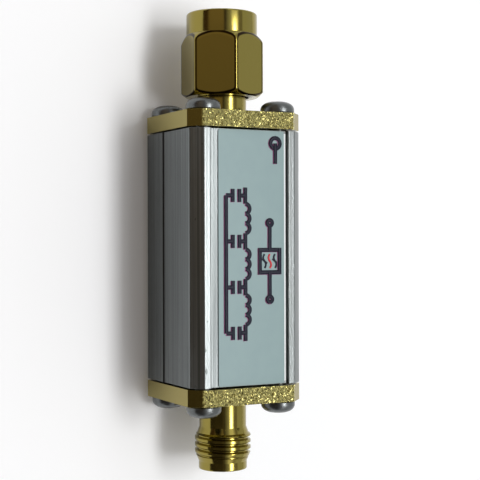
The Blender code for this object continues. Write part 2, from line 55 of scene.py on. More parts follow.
# %% [markdown]
# ## Sizes
#
# The solids are in metres, with X along the coaxial axis. The places of the two flanges and of the axis
# are read from the solids. The sizes of what this script adds are written in millimetres, so that they
# can be compared with the real parts.

# %% Places from the solids
flange_low, flange_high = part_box("plug_body")
jack_low, jack_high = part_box("jack_body")
case_low, case_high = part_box("upper_shell")

AXIS_Z = (flange_low.z + flange_high.z) / 2
FLANGE_THICKNESS = 1.8 * MM
PLUG_FACE_X = flange_high.x - FLANGE_THICKNESS
JACK_FACE_X = jack_low.x + FLANGE_THICKNESS
CASE_MIDDLE_X = (case_low.x + case_high.x) / 2
print("Coaxial axis at height", round(AXIS_Z / MM, 2), "mm")
print("Flange faces at", round(PLUG_FACE_X / MM, 2), "and", round(JACK_FACE_X / MM, 2), "mm")


def axis_place(x, side):
    """A place on the axis where local Z points along +X if side is 1, and along -X if it is -1."""
    turn = Matrix.Rotation(side * math.pi / 2, 4, "Z") @ Matrix.Rotation(math.pi / 2, 4, "X")
    return Matrix.Translation((x, 0, AXIS_Z)) @ turn


PLUG_PLACE = axis_place(PLUG_FACE_X, -1)
JACK_PLACE = axis_place(JACK_FACE_X, 1)

# %% [markdown]
# ## Camera
#
# The photograph looks down on the filter from about 28 degrees to one side, with the plug at the top of
# the picture. A camera can be placed by eye, but here its place was worked out from the edges of the
# case, so it is given by numbers: the turn about the coaxial axis, the distance, and the lens.

# %% Camera
VIEW_TURN = math.radians(27.66)
VIEW_ROLL = math.radians(0.15)
VIEW_DISTANCE = 132.5 * MM
VIEW_RIGHT = 1.97 * MM
VIEW_UP = 1.87 * MM
LENS = 89.5
NEAREST_SEEN = 10 * MM

across = Vector((0, math.cos(VIEW_TURN), math.sin(VIEW_TURN)))
upward = Vector((-1, 0, 0))
backward = Vector((0, -math.sin(VIEW_TURN), math.cos(VIEW_TURN)))
target = Vector((CASE_MIDDLE_X, 0, AXIS_Z)) + across * VIEW_RIGHT + upward * VIEW_UP
axes = Matrix((across, upward, backward)).transposed().to_4x4()


def new_object(name, data):
    item = bpy.data.objects.new(name, data)
    bpy.context.scene.collection.objects.link(item)
    return item


camera = new_object("camera", bpy.data.cameras.new("camera"))
bpy.context.scene.camera = camera
camera.data.lens = LENS
camera.data.clip_start = NEAREST_SEEN
camera.matrix_world = (
    Matrix.Translation(target + backward * VIEW_DISTANCE) @ axes @ Matrix.Rotation(-VIEW_ROLL, 4, "Z")
)
print("Camera at", [round(value / MM, 1) for value in camera.matrix_world.translation], "mm")

# %% [markdown]
# ## Colours and nodes
#
# A colour that is picked from a picture is an sRGB value, and a shader works with linear light, so one
# function turns hex values to linear ones. One more adds a node with its settings and its links, for
# shaders and for Geometry Nodes alike. Its inputs are a list in the node's own order, or go by name.

# %% Colour and node helpers
def linear(hex_colour):
    """A linear RGBA colour from an sRGB hex value such as C9A94F."""
    values = [int(hex_colour[i : i + 2], 16) / 255 for i in (0, 2, 4)]
    light = [v / 12.92 if v <= 0.04045 else ((v + 0.055) / 1.055) ** 2.4 for v in values]
    return (*light, 1.0)


def feed(tree, node, inputs):
    """Gives a node its inputs. Each is a value, an output, or a node, whose first output in use is
    then meant."""
    for name, source in inputs.items() if isinstance(inputs, dict) else enumerate(inputs):
        if isinstance(source, bpy.types.Node):
            source = next(output for output in source.outputs if output.enabled)
        if isinstance(source, bpy.types.NodeSocket):
            tree.links.new(source, node.inputs[name])
        else:
            node.inputs[name].default_value = source


def add(tree, kind, inputs=(), **settings):
    """Adds a node with its settings and its inputs."""
    node = tree.nodes.new(kind)
    for name, value in settings.items():
        setattr(node, name, value)
    feed(tree, node, inputs)
    return node


print("C9A94F is", [round(value, 3) for value in linear("C9A94F")], "in linear light")

# %% [markdown]
# ## Patterns and finishes
#
# A surface looks real where it varies in colour, in roughness and in height. A picture could give
# that, but noise on Object coordinates has no seams, has a real size, and stays in its place on a piece
# that moves. Each finish lays colours over a base one where a pattern is 1, and piles up bumps from
# coarse to fine.

# %% Patterns
# Noise lies mostly between these two values
NOISE_RANGE = (0.3, 0.7)


def grain_pattern(tree, size, detail=2.0, stretch=(1, 1, 1)):
    """Noise whose grain is about size metres, longer where stretch is more."""
    place = add(tree, "ShaderNodeTexCoord").outputs["Object"]
    scale = [1 / (size * factor) for factor in stretch]
    mapped = add(tree, "ShaderNodeMapping", {"Vector": place, "Scale": scale})
    return add(tree, "ShaderNodeTexNoise", {"Vector": mapped, "Scale": 1.0, "Detail": detail})


def torn_grains(tree, size):
    """The height of torn grains about size metres wide. Each cell is a flat facet with its own tilt,
    which is its random colour times the distance from its middle."""
    place = add(tree, "ShaderNodeTexCoord").outputs["Object"]
    mapped = add(tree, "ShaderNodeMapping", {"Vector": place, "Scale": [1 / size] * 3})
    cells = add(tree, "ShaderNodeTexVoronoi", {"Vector": mapped, "Scale": 1.0}).outputs
    tilt = add(tree, "ShaderNodeVectorMath", [cells["Color"], (0.5, 0.5, 0.5)], operation="SUBTRACT")
    reach = add(tree, "ShaderNodeVectorMath", [mapped, cells["Position"]], operation="SUBTRACT")
    return add(tree, "ShaderNodeVectorMath", [tilt, reach], operation="DOT_PRODUCT")


def away_from(tree, level):
    """How far each point is above or below a level."""
    place = add(tree, "ShaderNodeTexCoord").outputs["Object"]
    height = add(tree, "ShaderNodeSeparateXYZ", [place]).outputs["Z"]
    above = add(tree, "ShaderNodeMath", [height, level], operation="SUBTRACT")
    return add(tree, "ShaderNodeMath", [above], operation="ABSOLUTE")


# %% Finishes
def new_material(name, colour, roughness, metallic=0.0, finish=None):
    """A material with a Principled shader, and its tree. Finish holds the shader's other values."""
    material = bpy.data.materials.new(name)
    material.use_nodes = True
    tree = material.node_tree
    values = {"Base Color": linear(colour), "Roughness": roughness, "Metallic": metallic}
    feed(tree, tree.nodes["Principled BSDF"], values | (finish or {}))
    return material, tree


def layered(tree, base, *layers):
    """A base colour with others over it. Each layer is a pattern and the colour where it is 1."""
    colour = linear(base)
    for pattern, over in layers:
        inputs = {"Factor": pattern, "A": colour, "B": linear(over)}
        colour = add(tree, "ShaderNodeMix", inputs, data_type="RGBA")
    return colour


def dress(tree, colours=(), roughness=None, bumps=()):
    """Feeds the shader its patterns: layered colours, a roughness, and bumps from the lowest up. A bump
    is a pattern, its height in metres and its strength."""
    inputs = {}
    if colours:
        inputs["Base Color"] = layered(tree, *colours)
    if roughness is not None:
        inputs["Roughness"] = roughness
    for pattern, height, strength in bumps:
        under = {"Normal": inputs["Normal"]} if "Normal" in inputs else {}
        bump = under | {"Height": pattern, "Distance": height, "Strength": strength}
        inputs["Normal"] = add(tree, "ShaderNodeBump", bump)
    feed(tree, tree.nodes["Principled BSDF"], inputs)


# %% [markdown]
# ## Gold plate on turned brass
#
# The connectors are turned from free-cutting brass and plated with nickel and thin gold. Plating copies
# what is under it, so the tool's fine rings stay and the mirror is a little blurred. Bright gold of this
# thickness is pale, nearer to olive than to jewellery. The rings are about 0.05 mm apart on the real
# part, and are drawn at 0.12 mm so that they show. Where the flanges were sawn from the bar, on the
# edges that face up and down, the surface is torn into grains of about 0.12 mm that glitter, scored
# along the saw's way. There the gold is painted paler, partly wear that shows the nickel and partly
# painted sheen of the glitter, and the pits are painted dark, as painted shade.

# %% Turned gold
GOLD_HEX = "918443"
GOLD_ROUGHNESS = (0.1, 0.17)
RING_SPACING = 0.12 * MM
RING_HEIGHT = 0.0012 * MM
PATCH_SIZE = 1.4 * MM
PATCH_HEIGHT = 0.004 * MM


def turned_gold():
    material, tree = new_material("gold_plate_on_turned_brass", GOLD_HEX, 0.16, 1.0)
    rings = grain_pattern(tree, RING_SPACING, 1.0, stretch=(1, 40, 40))
    patches = grain_pattern(tree, PATCH_SIZE, 3.0)
    roughness = add(tree, "ShaderNodeMapRange", [patches, *NOISE_RANGE, *GOLD_ROUGHNESS])
    bumps = [(patches, PATCH_HEIGHT, 0.5), (rings, RING_HEIGHT, 0.6)]
    dress(tree, roughness=roughness, bumps=bumps)
    return material


gold = turned_gold()
print("Turned gold has", len(gold.node_tree.nodes), "nodes")

# %% Sawn gold
# Paler gold on the sawn edges is wear and painted sheen; the dark of the pits is painted shade
WORN_AND_SHEEN_GOLD_HEX = "C9BF79"
PIT_SHADE_HEX = "3A300C"
PIT_LEVELS = (0.52, 0.72)
PIT_SHADE_DARKNESS = 0.62
SAWN_ROUGHNESS = (0.2, 0.24)
GRAIN_SIZE = 0.12 * MM
GRAIN_TILT = 1.7
SCORE_SPACING = 0.12 * MM
SCORE_HEIGHT = 0.06 * MM
SAWN_BAND = 0.35 * MM


def sawn_gold():
    """The flanges: turned gold, with grains on the sawn edges at the top and bottom."""
    material, tree = new_material("gold_plate_on_sawn_flange", GOLD_HEX, 0.2, 1.0)
    edge = flange_high.z - AXIS_Z
    reach = away_from(tree, AXIS_Z)
    band = [reach, edge - SAWN_BAND, edge - SAWN_BAND / 2, 0.0, 1.0]
    sawn = add(tree, "ShaderNodeMapRange", band)
    torn = torn_grains(tree, GRAIN_SIZE)
    relief = add(tree, "ShaderNodeMath", [torn, sawn], operation="MULTIPLY")
    scores = grain_pattern(tree, SCORE_SPACING, 2.0, stretch=(12, 1, 1))
    scored = add(tree, "ShaderNodeMath", [scores, sawn], operation="MULTIPLY")
    pits = grain_pattern(tree, SCORE_SPACING, 2.0, stretch=(2, 1, 1))
    depth = add(tree, "ShaderNodeMapRange", [pits, *PIT_LEVELS, 0.0, PIT_SHADE_DARKNESS])
    pit_shade = add(tree, "ShaderNodeMath", [depth, sawn], operation="MULTIPLY")
    patches = grain_pattern(tree, PATCH_SIZE, 3.0)
    # Sawn edges painted paler (wear and painted sheen), with their pits painted dark (painted shade)
    colours = [GOLD_HEX, (sawn, WORN_AND_SHEEN_GOLD_HEX), (pit_shade, PIT_SHADE_HEX)]
    roughness = add(tree, "ShaderNodeMapRange", [sawn, 0.0, 1.0, *SAWN_ROUGHNESS])
    grains = (relief, GRAIN_TILT * GRAIN_SIZE, 1.0)
    bumps = [(patches, PATCH_HEIGHT, 0.5), (scored, SCORE_HEIGHT, 1.0), grains]
    dress(tree, colours, roughness, bumps)
    return material


flange_gold = sawn_gold()
print("Sawn gold has", len(flange_gold.node_tree.nodes), "nodes")

# %% [markdown]
# ## Extruded aluminium
#
# The case is pushed through a die and then only degreased, which leaves a satin skin with fine lines
# along its length. The lines are noise that is stretched along X: strong ones about 0.3 mm apart and
# faint ones between them. Bare aluminium is a cool grey metal, and its roughness of 0.3 to 0.4 keeps the
# reflections soft. The sides and the floor of the recess are painted darker than the ribs beside the
# label, as painted shade. There is dirt in a few pits, and a line of it where the half shells meet.

# %% Dirt and painted shade
SHADE_START = 1.4 * MM
SHADE_FADE = 0.34 * MM
SHADE_DARKNESS = 0.5
RECESS_DEPTH = 0.45 * MM
DIRT_SIZE = 0.5 * MM
DIRT_LEVELS = (0.7, 0.76)
DIRT_DARKNESS = 0.6


def dirt_and_painted_shade(tree):
    """Dirt in pits, and painted shade on the sides and on the floor of the recess, whichever is most."""
    edge = case_high.z - AXIS_Z
    reach = away_from(tree, AXIS_Z)
    # Painted shade: the sides are darkened below the ribs
    side = [reach, edge - SHADE_START, edge - SHADE_START + SHADE_FADE, SHADE_DARKNESS, 0.0]
    shaded = add(tree, "ShaderNodeMapRange", side)
    above_floor = add(tree, "ShaderNodeMath", [reach, edge - RECESS_DEPTH], operation="SUBTRACT")
    from_floor = add(tree, "ShaderNodeMath", [above_floor], operation="ABSOLUTE")
    # Painted shade: the floor of the recess, along the label's edges, is darkened
    floor_shade = [from_floor, RECESS_DEPTH / 8, RECESS_DEPTH / 4, SHADE_DARKNESS / 2, 0.0]
    recess_shade = add(tree, "ShaderNodeMapRange", floor_shade)
    pits = grain_pattern(tree, DIRT_SIZE, 2.0, stretch=(2, 1, 1))
    specked = add(tree, "ShaderNodeMapRange", [pits, *DIRT_LEVELS, 0.0, DIRT_DARKNESS])
    dirt_and_side_shade = add(tree, "ShaderNodeMath", [specked, shaded], operation="MAXIMUM")
    return add(tree, "ShaderNodeMath", [dirt_and_side_shade, recess_shade], operation="MAXIMUM")


# Below this height the sides carry painted shade
print("The sides are dull up to", round((case_high.z - SHADE_START) / MM, 2), "mm above the table")

# %% Aluminium
ALUMINIUM_ROUGHNESS = (0.3, 0.4)
JOINT_GRIME = 0.34 * MM
GRIME_DARKNESS = 0.9
LINE_SPACING = 0.3 * MM
LINE_HEIGHT = 0.03 * MM
LINE_LEVELS = (0.35, 0.65)
FAINT_LINE_SPACING = 0.09 * MM
FAINT_LINE_HEIGHT = 0.003 * MM
CLOUD_SIZE = 2.5 * MM
SPECK_SIZE = 0.14 * MM
SPECK_HEIGHT = 0.016 * MM


def extruded_aluminium():
    material, tree = new_material("extruded_aluminium", "82898D", 0.42, 1.0)
    lines = grain_pattern(tree, LINE_SPACING, 2.0, stretch=(120, 1, 1))
    faint = grain_pattern(tree, FAINT_LINE_SPACING, 1.0, stretch=(160, 1, 1))
    clouds = grain_pattern(tree, CLOUD_SIZE, 4.0, stretch=(3, 1, 1))
    specks = grain_pattern(tree, SPECK_SIZE, 2.0, stretch=(1.6, 1, 1))
    tone = add(tree, "ShaderNodeMapRange", [lines, *LINE_LEVELS, 0.0, 1.0])
    joint = [away_from(tree, case_low.z), JOINT_GRIME / 2, JOINT_GRIME, GRIME_DARKNESS, 0.0]
    grime = add(tree, "ShaderNodeMapRange", joint)
    # The dark 242A2A is dirt in pits together with painted shade on the sides and the recess floor;
    # 1E2021 is grime in the joint
    colours = ["747878", (tone, "8C9191"), (dirt_and_painted_shade(tree), "242A2A"), (grime, "1E2021")]
    roughness = add(tree, "ShaderNodeMapRange", [clouds, *NOISE_RANGE, *ALUMINIUM_ROUGHNESS])
    bumps = [(lines, LINE_HEIGHT, 0.8), (faint, FAINT_LINE_HEIGHT, 0.6), (specks, SPECK_HEIGHT, 0.7)]
    dress(tree, colours, roughness, bumps)
    return material


aluminium = extruded_aluminium()
print("Aluminium has", len(aluminium.node_tree.nodes), "nodes")

# %% [markdown]
# ## Nickel screws, film, ink and the small materials
#
# The screws are steel with dark nickel, and the label is a polyester film, printed grey, with marks of
# toner. A white strip beside its far edge is painted highlight, the lit floor of the recess. The
# insulators are PTFE, the gasket is red silicone rubber, and the snap ring spring steel. The circuit
# board, coils and chips are sealed in the case, but they get their own finish as well, for whoever
# opens it. Each could have a tree of its own, but all of them have one fine grain and little else, so
# one function makes them all.

# %% One fine grain
def grained(
    name, colour, roughness, metallic, grain, height, detail=3.0, strength=0.5,
    stretch=(1, 1, 1), spread=None, tones=None, finish=None,
):
    """A material with a fine grain. Spread is the range of its roughness, and tones are the two colours
    that the grain varies between."""
    material, tree = new_material(name, colour, roughness, metallic, finish)
    pattern = grain_pattern(tree, grain, detail, stretch)
    colours = [tones[0], (pattern, tones[1])] if tones else ()
    uneven = add(tree, "ShaderNodeMapRange", [pattern, *NOISE_RANGE, *spread]) if spread else None
    dress(tree, colours, uneven, [(pattern, height, strength)])
    return material


# %% Nickel, film and toner
# Tumbled dark nickel: a dull mirror with shallow dents
nickel = grained(
    "dark_nickel_on_steel", "696C6C", 0.3, 1.0, 0.5 * MM, 0.03 * MM, spread=(0.26, 0.4)
)
# Printed polyester film: smooth, with faint clouds in its grey and a thin gloss
film = grained(
    "printed_polyester_film", "88A1A4", 0.34, 0.0, 1.6 * MM, 0.01 * MM, 4.0, 0.4,
    tones=("859DA0", "8DA5A6"),
    finish={"Specular IOR Level": 0.3, "Coat Weight": 0.08, "Coat Roughness": 0.18},
)
# Painted highlight: a white strip beside the label's far edge, in place of the lit floor of the recess,
# with flecks along it
highlight_film = grained(
    "painted_highlight_film", "F2F8F8", 0.4, 0.0, 0.4 * MM, 0.01 * MM,
    stretch=(4, 1, 1), tones=("E4EAEA", "FAFDFD"),
)
# Printed toner: matt and a little uneven
navy_toner, magenta_toner, red_toner = (
    grained(
        name, colour, 0.45, 0.0, 0.1 * MM, 0.003 * MM, 2.0,
        spread=(0.38, 0.55), finish={"Specular IOR Level": 0.25},
    )
    for name, colour in (
        ("navy_toner", "1B1B2C"), ("magenta_toner", "A4618F"), ("red_toner", "C8323C")
    )
)
print("Toners:", [toner.name for toner in (navy_toner, magenta_toner, red_toner)])

# %% Insulators and inside parts
# Turned PTFE: waxy, so light goes a little way into it
white_ptfe = grained(
    "ptfe", "F1F0EB", 0.42, 0.0, 0.15 * MM, 0.004 * MM, 1.0,
    finish={"Subsurface Weight": 0.2, "Subsurface Scale": 0.5 * MM},
)
# Moulded silicone rubber: matt, with a soft skin
silicone = grained(
    "silicone_rubber", "A8352A", 0.6, 0.0, 0.3 * MM, 0.01 * MM, spread=(0.48, 0.72)
)
# Rolled spring steel: a grey satin
spring_steel = grained(
    "spring_steel", "A6A5A1", 0.35, 1.0, 0.2 * MM, 0.004 * MM, spread=(0.28, 0.42)
)
# Solder mask, screen printed on a woven board: half gloss, with the weave's faint relief
solder_mask = grained(
    "solder_mask_on_glass_epoxy", "14502E", 0.35, 0.0, 0.4 * MM, 0.02 * MM, spread=(0.28, 0.42)
)
# Drawn copper wire under clear enamel: bright and even
enamelled_copper = grained(
    "enamelled_copper", "B4602E", 0.28, 1.0, 0.3 * MM, 0.004 * MM, spread=(0.224, 0.336)
)
# Fired ceramic: matt and sandy
ceramic = grained("chip_ceramic", "A5875F", 0.5, 0.0, 0.1 * MM, 0.004 * MM, spread=(0.4, 0.6))
print("Materials so far:", len(bpy.data.materials))

# %% Finish of each solid
NODE_FINISHES = {
    "upper_shell": aluminium,
    "lower_shell": aluminium,
    "plug_body": flange_gold,
    "jack_body": flange_gold,
    "coupling_nut": gold,
    "plug_centre_pin": gold,
    "jack_centre_contact": gold,
    "plug_dielectric": white_ptfe,
    "jack_dielectric": white_ptfe,
    "plug_gasket": silicone,
    "nut_snap_ring": spring_steel,
    "circuit_board": solder_mask,
    "label": film,
    "coil": enamelled_copper,
    "chip_capacitor": ceramic,
    "plug_screw": nickel,
    "jack_screw": nickel,
}
for name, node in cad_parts.items():
    kind = name.rstrip("0123456789").rstrip("_")
    node.data.materials.clear()
    node.data.materials.append(NODE_FINISHES[kind])
print("Finished", len(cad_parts), "nodes with", len(set(NODE_FINISHES.values())), "materials")

# %% [markdown]
# ## Mesh helpers
#
# A turned part is a profile of radius and height that goes round an axis. Blender has a Screw modifier
# for it, and so does mesh code: one ring of points for each point of the profile, joined by faces. The
# second way is used because it can be cut by a Boolean straight away. The place of a piece goes into
# its mesh, so each object stays at the origin.

# %% Pieces and their shading
def evaluated_mesh(obj):
    graph = bpy.context.evaluated_depsgraph_get()
    return bpy.data.meshes.new_from_object(obj.evaluated_get(graph))


def add_piece(name, mesh, material):
    """An object at the origin with its material, and with its faces pointing outwards."""
    shape = bmesh.new()
    shape.from_mesh(mesh)
    bmesh.ops.recalc_face_normals(shape, faces=shape.faces)
    shape.to_mesh(mesh)
    shape.free()
    mesh.materials.clear()
    mesh.materials.append(material)
    return new_object(name, mesh)


def built(name, points, faces, place, material):
    """A piece from its points and faces, moved to its place."""
    mesh = bpy.data.meshes.new(name)
    mesh.from_pydata(points, [], faces)
    mesh.transform(place)
    return add_piece(name, mesh, material)


def apply_modifiers(piece):
    result = evaluated_mesh(piece)
    piece.modifiers.clear()
    piece.data = result


SHARP_EDGE = math.radians(16)
BIG_FACES_FIRST = 100


def shade(piece):
    """Smooth shading in which a big flat face stays flat and the small faces beside it do the turning.
    Edges where two faces meet at more than the sharp angle stay sharp."""
    piece.data.shade_smooth()
    piece.data.set_sharp_from_angle(angle=SHARP_EDGE)
    weighted = piece.modifiers.new("Flat faces first", "WEIGHTED_NORMAL")
    weighted.weight = BIG_FACES_FIRST
    weighted.keep_sharp = True
    apply_modifiers(piece)


# %% Turned shapes
ROUND_STEPS = 144


def even_angles(steps):
    return [2 * math.pi * i / steps for i in range(steps)]


def turned(name, profile, place, material, angles=even_angles(ROUND_STEPS), reach=None):
    """Turns a closed profile of (radius, height) points about local Z. Where the piece isn't round,
    reach gives the distance from the axis by the profile's radius and the angle."""
    points = []
    rings = []
    steps = len(angles)
    for radius, height in profile:
        count = 1 if radius == 0 else steps
        rings.append([len(points) + i % count for i in range(steps)])
        for angle in angles[:count]:
            away = reach(radius, angle) if reach else radius
            points.append((away * math.cos(angle), away * math.sin(angle), height))
    faces = []
    for ring, following in zip(rings, rings[1:] + rings[:1]):
        for i in range(steps):
            j = (i + 1) % steps
            corners = [ring[i], ring[j], following[j], following[i]]
            face = [c for n, c in enumerate(corners) if c not in corners[:n]]
            if len(face) > 2:
                faces.append(face)
    return built(name, points, faces, place, material)


# %% Prisms, copies of solids and Booleans
MERGE_DISTANCE = 0.0005 * MM
FLAT_ANGLE = math.radians(1)


def rectangle(half_x, half_y):
    return [(half_x, half_y), (-half_x, half_y), (-half_x, -half_y), (half_x, -half_y)]


def prism(name, outline, low, high, place, material):
    """An upright bar between two heights, with a flat outline of (x, y) points."""
    count = len(outline)
    points = [(x, y, z) for z in (low, high) for x, y in outline]
    faces = [list(range(count)), list(range(count, 2 * count))]
    faces += [[i, (i + 1) % count, (i + 1) % count + count, i + count] for i in range(count)]
    return built(name, points, faces, place, material)


def merged_copy(node, name, material):
    """A copy of a solid whose loose triangles are merged into flat faces."""
    mesh = bpy.data.meshes.new(name)
    shape = bmesh.new()
    shape.from_mesh(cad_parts[node].data)
    bmesh.ops.remove_doubles(shape, verts=shape.verts, dist=MERGE_DISTANCE)
    bmesh.ops.dissolve_limit(shape, angle_limit=FLAT_ANGLE, verts=shape.verts, edges=shape.edges)
    shape.to_mesh(mesh)
    shape.free()
    for attribute in [a.name for a in mesh.attributes if a.name == "custom_normal"]:
        mesh.attributes.remove(mesh.attributes[attribute])
    return add_piece(name, mesh, material)


def cut(piece, tool):
    """Takes the tool's shape from the piece by a Boolean, then removes the tool."""
    boolean = piece.modifiers.new(tool.name, "BOOLEAN")
    boolean.operation = "DIFFERENCE"
    boolean.solver = "EXACT"
    boolean.object = tool
    apply_modifiers(piece)
    bpy.data.objects.remove(tool)


# %% [markdown]
# ## Geometry Nodes helpers
#
# A tree that is built in code needs an input for each size, and the modifier's inputs are set by the
# identifier of each socket. The last helper runs a tree on an object and keeps the result as a plain
# mesh, because the exported model holds meshes only.

# %% Tree helpers
def new_tree(name, inputs):
    """A tree with one named input for each entry, which gives the socket's kind."""
    tree = bpy.data.node_groups.new(name, "GeometryNodeTree")
    tree.interface.new_socket("Geometry", in_out="INPUT", socket_type="NodeSocketGeometry")
    for label, kind in inputs.items():
        tree.interface.new_socket(label, in_out="INPUT", socket_type="NodeSocket" + kind)
    tree.interface.new_socket("Geometry", in_out="OUTPUT", socket_type="NodeSocketGeometry")
    return tree, add(tree, "NodeGroupInput").outputs


def finish_tree(tree, geometry, material):
    """Ends a tree: real geometry in place of instances, with its material."""
    real = add(tree, "GeometryNodeRealizeInstances", [geometry])
    painted = add(tree, "GeometryNodeSetMaterial", {"Geometry": real, "Material": material})
    add(tree, "NodeGroupOutput", [painted])


def run_tree(name, tree, mesh, values):
    """Runs the tree on a mesh with these values by input name. Returns a plain mesh."""
    draft = new_object(name, mesh)
    modifier = draft.modifiers.new("Tree", "NODES")
    modifier.node_group = tree
    for item in tree.interface.items_tree:
        if item.in_out == "INPUT" and item.name in values:
            modifier[item.identifier] = values[item.name]
    result = evaluated_mesh(draft)
    bpy.data.objects.remove(draft)
    result.name = name
    return result


# %% [markdown]
# ## Threads
#
# Both connectors have the same 1/4-36 thread, a sixty-degree V with a pitch of 0.7056 mm. It could be a
# bump map, but then the outline of the jack would be smooth. Here the tree makes the path of the lathe
# tool: a helix with the V as its section. A Boolean takes that from the blank, which also gives the
# run-out at the neck and the thin first turn on the taper, as the real tool does. The photograph shows
# shallow grooves between wide crests, so the tool goes 0.3 mm deep.

# %% The tool's path
PITCH = 25.4 / 36 * MM
THREAD_RADIUS = 3.1 * MM
THREAD_DEPTH = 0.3 * MM
MOUTH_OVERRUN = 0.14 * MM
V_SLOPE = math.tan(math.radians(30))
ROOT_FLAT = 0.08 * MM


def thread_tree():
    sizes = ("Radius", "Pitch", "Turns", "Mouth", "Root", "Mouth width", "Root width")
    tree, size = new_tree("Thread tool path", dict.fromkeys(sizes, "Float") | {"Material": "Material"})
    spiral = {
        "Resolution": ROUND_STEPS,
        "Rotations": size["Turns"],
        "Start Radius": size["Radius"],
        "End Radius": size["Radius"],
        "Height": add(tree, "ShaderNodeMath", [size["Pitch"], size["Turns"]], operation="MULTIPLY"),
    }
    helix = add(tree, "GeometryNodeCurveSpiral", spiral)
    upright = add(tree, "GeometryNodeSetCurveNormal", [helix], mode="Z_UP")
    corners = {}
    for end, side in (("Mouth", 0.5), ("Mouth", -0.5), ("Root", -0.5), ("Root", 0.5)):
        inwards = add(tree, "ShaderNodeMath", [size[end], -1.0], operation="MULTIPLY")
        half = add(tree, "ShaderNodeMath", [size[end + " width"], side], operation="MULTIPLY")
        corner = add(tree, "ShaderNodeCombineXYZ", [inwards, half])
        corners[f"Point {len(corners) + 1}"] = corner
    section = add(tree, "GeometryNodeCurvePrimitiveQuadrilateral", mode="POINTS")
    feed(tree, section, corners)
    sweep = {"Curve": upright, "Profile Curve": section, "Fill Caps": True}
    finish_tree(tree, add(tree, "GeometryNodeCurveToMesh", sweep), size["Material"])
    return tree


thread = thread_tree()
print("Thread tree has", len(thread.nodes), "nodes")

# %% Cutting a thread
def cut_thread(piece, name, radius, length, mouth, root, place):
    """Cuts a thread over this length and a turn more. Mouth and root are the V's wide and narrow ends,
    from the radius outwards."""
    values = {
        "Radius": radius,
        "Pitch": PITCH,
        "Turns": length / PITCH + 1,
        "Mouth": mouth,
        "Root": root,
        "Mouth width": ROOT_FLAT + 2 * V_SLOPE * abs(mouth - root),
        "Root width": ROOT_FLAT,
        "Material": gold,
    }
    mesh = run_tree(name, thread, bpy.data.meshes.new(name), values)
    mesh.transform(place)
    print(name, "has", len(mesh.polygons), "faces over", round(values["Turns"], 1), "turns")
    cut(piece, add_piece(name, mesh, gold))


# %% [markdown]
# ## The jack
#
# The jack's body is one piece of brass: a flange, a relieved neck, the thread with a tapered start, and
# a bore for the plug. The flange comes from the solid, with its screw holes, and a finer barrel is
# turned and stands on it, because the solid's 48 facets would break the long reflections. Between the
# neck and the thread the blank widens in a cone. The tool starts beside the foot of the cone, clear of
# the metal, and cuts its way in.

# %% Jack sizes
JACK_LENGTH = jack_high.x - JACK_FACE_X
NECK_RADIUS = 2.6 * MM
NECK_LENGTH = 3.1 * MM
NECK_FILLET = 0.25 * MM
RUN_OUT = ((2.84, 3.75), (3.04, 3.93), (3.1, 4.05))
FIRST_GROOVE = 3.17 * MM
NOSE_LENGTH = 0.9 * MM
NOSE_RADIUS = 2.675 * MM
NOSE_ROUND = 0.15 * MM
TAPER_LENGTH = 1.0 * MM
LINE_BORE = 2.1 * MM
JACK_BORE = 2.3 * MM
JACK_LEAD_IN = 0.05 * MM
MATING_DEPTH = 1.9 * MM
BARREL_REAR = -FLANGE_THICKNESS / 2
print("The jack stands", round(JACK_LENGTH / MM, 2), "mm out of its flange")

# %% Flange and fillet
FRONT_HALF = 10 * MM
FRONT_HEIGHT = 20 * MM


def fillet(radius, size, steps=6):
    """An inside corner where a barrel of this radius stands on the flange's face."""
    angles = [math.pi / 2 * i / steps for i in range(steps + 1)]
    return [(radius + size * (1 - math.cos(a)), size * (1 - math.sin(a))) for a in angles]


def plate_of(node, name, place):
    """The flange alone, with its holes: a copy of the solid without what stands in front of its face."""
    plate = merged_copy(node, name, flange_gold)
    square = rectangle(FRONT_HALF, FRONT_HALF)
    cut(plate, prism(name + "_front", square, 0, FRONT_HEIGHT, place, flange_gold))
    shade(plate)
    print(name, "has", len(plate.data.polygons), "faces")
    return plate


# %% Jack body
def jack_barrel():
    taper = JACK_LENGTH - NOSE_LENGTH
    reference = JACK_LENGTH - MATING_DEPTH
    run_out = [(radius * MM, height * MM) for radius, height in reversed(RUN_OUT)]
    outside = [
        (NOSE_RADIUS - NOSE_ROUND, JACK_LENGTH),
        (NOSE_RADIUS - NOSE_ROUND * 0.3, JACK_LENGTH - NOSE_ROUND * 0.3),
        (NOSE_RADIUS, JACK_LENGTH - NOSE_ROUND),
        (NOSE_RADIUS, taper),
        (THREAD_RADIUS, taper - TAPER_LENGTH),
    ]
    neck = [(NECK_RADIUS, NECK_LENGTH), *fillet(NECK_RADIUS, NECK_FILLET)]
    inside = [
        (NECK_RADIUS + NECK_FILLET, BARREL_REAR),
        (LINE_BORE, BARREL_REAR),
        (LINE_BORE, reference),
        (JACK_BORE, reference),
        (JACK_BORE, JACK_LENGTH - JACK_LEAD_IN),
        (JACK_BORE + JACK_LEAD_IN, JACK_LENGTH),
    ]
    return turned("jack_barrel", outside + run_out + neck + inside, JACK_PLACE, gold)


jack_shell = jack_barrel()
first_groove = Matrix.Translation((0, 0, FIRST_GROOVE)) @ Matrix.Rotation(-math.pi / 2, 4, "Z")
cut_thread(
    jack_shell, "jack_thread_tool", THREAD_RADIUS, JACK_LENGTH - FIRST_GROOVE,
    MOUTH_OVERRUN, -THREAD_DEPTH, JACK_PLACE @ first_groove,
)
shade(jack_shell)
jack_flange = plate_of("jack_body", "jack_flange", JACK_PLACE)
print("Jack barrel:", len(jack_shell.data.polygons), "faces")
